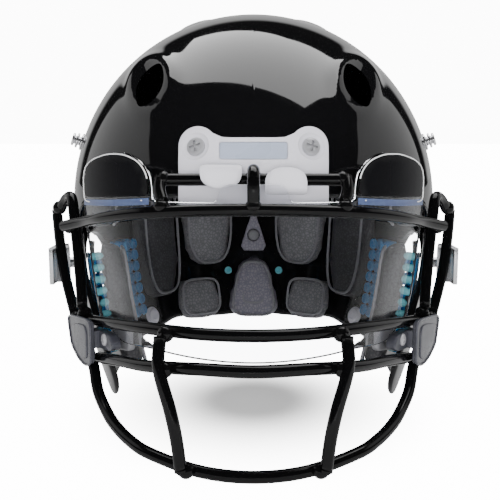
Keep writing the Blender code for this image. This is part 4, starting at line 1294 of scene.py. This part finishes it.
# ---------------------------------------------------------------- shock cells and nape fittings
def cell_block(name, turns, levels, depths, columns, rows):
    """Rows of blue shock cells between the shell and a cushion, on a thin backing sheet."""
    size = 4.2
    puck = [(0, 0), (size * 0.8, 0), (size, 0.6), (size, 0.5 * (depths[1] - depths[0])),
            (size * 0.72, 0.7 * (depths[1] - depths[0])), (size, 0.85 * (depths[1] - depths[0])),
            (size * 0.86, depths[1] - depths[0] - 0.2), (size * 0.4, depths[1] - depths[0]),
            (0, depths[1] - depths[0] - 0.6)]
    places = []
    for side, word in SIDES:
        for c in range(columns):
            for r in range(rows):
                share = (c + 0.5) / columns
                turn = turns[0] + (turns[1] - turns[0]) * share
                z = levels[0] + (levels[1] - levels[0]) * (r + 0.5) / rows
                spot = flip(wall(turn, z, depths[0]), side)
                places.append((spot, -outward(spot), 1.0))
    nodes = [f"{name}_{word}" for side, word in SIDES]
    made = copies(name + "_skin", places, turned((0, 0, 0), (0, 0, 1), puck, 16), CELL_BLUE)
    finish(made, "helmet", "cell_blue", *nodes)
    outline = rounded([(turns[0] + 0.3, levels[0]), (turns[1] - 0.3, levels[0]),
                       (turns[1] - 0.3, levels[1]), (turns[0] + 0.3, levels[1])], 1.2)
    for side, word in SIDES:
        sheet = moulding(outline, depths[0] - 0.2, depths[0] + 0.9, 0, 3.0,
                         lambda t, z, d: flip(wall(t, z, d), side))
        piece(f"{name}_sheet_{word}", sheet, CELL_BLUE, "helmet", "cell_blue", smooth=35)


def teal_beads():
    """Small teal air beads along the front edge of each jaw cushion."""
    bead = [(0, -2.4), (1.6, -2.0), (2.4, -0.8), (2.6, 0.4), (2.2, 1.6), (1.2, 2.4), (0, 2.6)]
    places = []
    for side, word in SIDES:
        for k in range(9):
            spot = flip(wall(61.8, 36 + 7.4 * k, 9.5), side)
            places.append((spot, -outward(spot), (1.0, 1.3, 1.2)))
    beads = copies("jaw_beads", places, turned((0, 0, 0), (0, 0, 1), bead, 16), BEAD_TEAL)
    finish(beads, "helmet", "cell_blue")


def nape_fittings():
    """White snaps, blue valve dots, and the triangular frame with its round button."""
    snap = [(0, 1.5), (6.9, 1.5), (7.1, 1.9), (6.9, 2.8), (5.6, 3.4), (5.2, 4.5), (4.6, 4.9),
            (3.0, 4.9), (2.4, 4.2), (0, 4.2)]
    places = []
    dots = []
    for side, word in SIDES:
        spot = flip(wall(127, 29, WALL), side)
        places.append((spot, -outward(spot), 1.0))
        spot = flip(wall(167, 60, 20.2), side)
        dots.append((spot, -outward(spot), 1.0))
    snaps = copies("nape_snaps", places, turned((0, 0, 0), (0, 0, 1), snap), BUMPER_WHITE)
    finish(snaps, "helmet", "bumper_white", "nape_snap_left", "nape_snap_right")
    disc = [(0, -2), (2.9, -2), (3.1, 0.6), (2.6, 1.4), (1.6, 1.4), (1.2, 0.9), (0, 0.9)]
    dots = copies("valve_dots", dots, turned((0, 0, 0), (0, 0, 1), disc, 28), BEAD_TEAL)
    finish(dots, "helmet", "cell_blue")
    finish(refined("occipital_frame", PAD_GREY, 0.8), "helmet", "pad_grey", "occipital_frame")
    finish(refined("frame_button", PIPING, 0.4), "helmet", "pad_dark", "frame_button")


# ---------------------------------------------------------------- studio
PANEL_HEIGHT = 1.1
PANEL_ASIDE = 1.5
SIDE_PANEL = ((-0.40, 0.70), (0.33, 1.62), (1.62, 1.55), (1.62, 0.12), (0.7, 0.12))
OVERHEAD_PANEL = ((-0.39, 0.93), (-0.06, 0.75), (0.22, 0.62), (0.56, 0.64), (0.54, 0.40),
                  (0.79, 0.19), (0.53, -0.35), (0.25, -0.29), (0.03, -0.23), (-0.27, -0.11),
                  (-0.45, -0.02), (-0.67, 0.13), (-0.48, 0.32), (-0.50, 0.68))


def emitter(name, corners, strength):
    """A white panel that only shows in reflections."""
    mesh = bpy.data.meshes.new(name)
    mesh.from_pydata([Vector(c) for c in corners], [], [tuple(range(len(corners)))])
    panel = bpy.data.objects.new(name, mesh)
    bpy.context.scene.collection.objects.link(panel)
    glow = bpy.data.materials.new(name)
    glow.use_nodes = True
    tree = glow.node_tree
    tree.nodes.clear()
    light = node(tree, "ShaderNodeEmission", {"Strength": strength})
    out = node(tree, "ShaderNodeOutputMaterial")
    tree.links.new(light.outputs["Emission"], out.inputs["Surface"])
    mesh.materials.append(glow)
    panel.visible_camera = False
    panel.visible_diffuse = False
    panel.visible_shadow = False
    panel.visible_transmission = False


def lamp(name, place, aim, size, power):
    """A soft area light that doesn't show in reflections."""
    data = bpy.data.lights.new(name, "AREA")
    data.shape = "RECTANGLE"
    data.size, data.size_y = size
    data.energy = power
    light = bpy.data.objects.new(name, data)
    light.location = place
    light.rotation_euler = (Vector(aim) - Vector(place)).to_track_quat("-Z", "Y").to_euler()
    light.visible_glossy = False
    light.visible_camera = False
    light.visible_transmission = False
    bpy.context.scene.collection.objects.link(light)


def seen_straight(tree):
    """1 where the camera sees something directly or through the clear shield, 0 in reflections."""
    path = node(tree, "ShaderNodeLightPath")
    bounces = node(tree, "ShaderNodeMath", {0: path.outputs["Glossy Depth"],
                                            1: path.outputs["Diffuse Depth"]}, operation="ADD")
    straight = node(tree, "ShaderNodeMath", {0: bounces.outputs["Value"], 1: 0.5},
                    operation="LESS_THAN")
    direct = node(tree, "ShaderNodeMath", {0: path.outputs["Is Camera Ray"],
                                           1: path.outputs["Is Transmission Ray"]},
                  operation="MAXIMUM")
    both = node(tree, "ShaderNodeMath", {0: direct.outputs["Value"],
                                         1: straight.outputs["Value"]}, operation="MULTIPLY")
    return both.outputs["Value"]


def studio():
    """Pale floor with a painted shadow under the helmet, white surroundings, reflection panels and soft
    lamps.
    """
    mesh = bpy.data.meshes.new("floor")
    reach = 30.0
    mesh.from_pydata([(-reach, -reach, 0), (reach, -reach, 0), (reach, reach, 0),
                      (-reach, reach, 0)], [], [(0, 1, 2, 3)])
    floor = bpy.data.objects.new("floor", mesh)
    bpy.context.scene.collection.objects.link(floor)
    paper, tree, principled = shader("floor_with_painted_shadow")
    set_inputs(principled, Base_Color=(0.93, 0.93, 0.93, 1.0), Roughness=0.6,
               Specular_IOR_Level=0.2, Emission_Color=(1.0, 1.0, 1.0, 1.0))
    place = node(tree, "ShaderNodeTexCoord").outputs["Object"]
    centred = node(tree, "ShaderNodeVectorMath", {0: place, 1: PAINTED_SHADOW_CENTRE},
                   operation="SUBTRACT")
    scaled = node(tree, "ShaderNodeVectorMath", {0: centred.outputs["Vector"], 1: PAINTED_SHADOW_SIZE},
                  operation="DIVIDE")
    away = node(tree, "ShaderNodeVectorMath", {0: scaled.outputs["Vector"]}, operation="LENGTH")
    # painted shadow: the glow the camera sees falls from the backdrop level to 0.35 round the helmet's
    # footprint, so the floor reads darker there
    painted_shadow_glow = node(tree, "ShaderNodeMapRange", {"Value": away.outputs["Value"], "From Min": 0.25,
                                             "From Max": 1.5, "To Min": 0.35, "To Max": BACKDROP},
                interpolation_type="SMOOTHSTEP")
    glow = node(tree, "ShaderNodeMath", {0: seen_straight(tree), 1: painted_shadow_glow.outputs["Result"]},
                operation="MULTIPLY")
    tree.links.new(glow.outputs["Value"], principled.inputs["Emission Strength"])
    mesh.materials.append(paper)
    surroundings = bpy.data.worlds.new("studio")
    bpy.context.scene.world = surroundings
    surroundings.use_nodes = True
    tree = surroundings.node_tree
    tree.nodes.clear()
    way = node(tree, "ShaderNodeTexCoord")
    split = node(tree, "ShaderNodeSeparateXYZ", {"Vector": way.outputs["Generated"]})
    behind = node(tree, "ShaderNodeMapRange", {"Value": split.outputs["Y"], "From Min": 0.83,
                                               "From Max": 0.87, "To Min": 0.02, "To Max": 1.0})
    path = node(tree, "ShaderNodeLightPath")
    shine = node(tree, "ShaderNodeMix", {"Factor": path.outputs["Is Glossy Ray"], "A": 1.0,
                                         "B": behind.outputs["Result"]}, data_type="FLOAT")
    seen = node(tree, "ShaderNodeMix", {"Factor": seen_straight(tree),
                                        "A": shine.outputs["Result"], "B": BACKDROP + 1.0},
                data_type="FLOAT")
    glow = node(tree, "ShaderNodeBackground", {"Strength": seen.outputs["Result"]})
    out = node(tree, "ShaderNodeOutputWorld")
    tree.links.new(glow.outputs["Background"], out.inputs["Surface"])
    emitter("overhead_panel", [(x, y, PANEL_HEIGHT) for x, y in OVERHEAD_PANEL], 5.0)
    for side in (1, -1):
        corners = [(side * PANEL_ASIDE, y, z) for y, z in SIDE_PANEL]
        emitter(f"side_panel_{side}", corners, 0.9)
    lamp("key", (-0.6, -1.6, 1.5), (0, 0, 0.1), (0.9, 0.9), 14)
    lamp("fill", (1.0, -1.3, 0.9), (0, 0, 0.1), (0.8, 0.8), 8)
    lamp("face", (0.0, -1.3, 0.12), (0, 0.1, 0.08), (0.5, 0.3), 12)
    lamp("inside", (0.0, 0.9, 0.35), (0, 0.0, 0.12), (0.8, 0.4), 4)


def camera():
    """A long lens just above the face guard's height, looking a little down."""
    data = bpy.data.cameras.new("camera")
    data.sensor_width = 36.0
    data.lens = 65.16
    data.shift_x = -0.007
    eye = bpy.data.objects.new("camera", data)
    eye.location = world((0, -620.0, 167.2))
    eye.rotation_euler = (math.radians(90 - 7), 0, 0)
    bpy.context.scene.collection.objects.link(eye)
    bpy.context.scene.camera = eye


shell()
brow_bumper()
strap_studs()
nape_bumper()
face_guard()
eye_shield()
shield_clips()
side_clips()
cushions()
cell_block("jaw_cells", (63.5, 83.5), (30, 92), (5.8, 13.0), 4, 7)
cell_block("side_cells", (106, 116.5), (33, 92), (7, 19), 2, 7)
teal_beads()
nape_fittings()
studio()
camera()
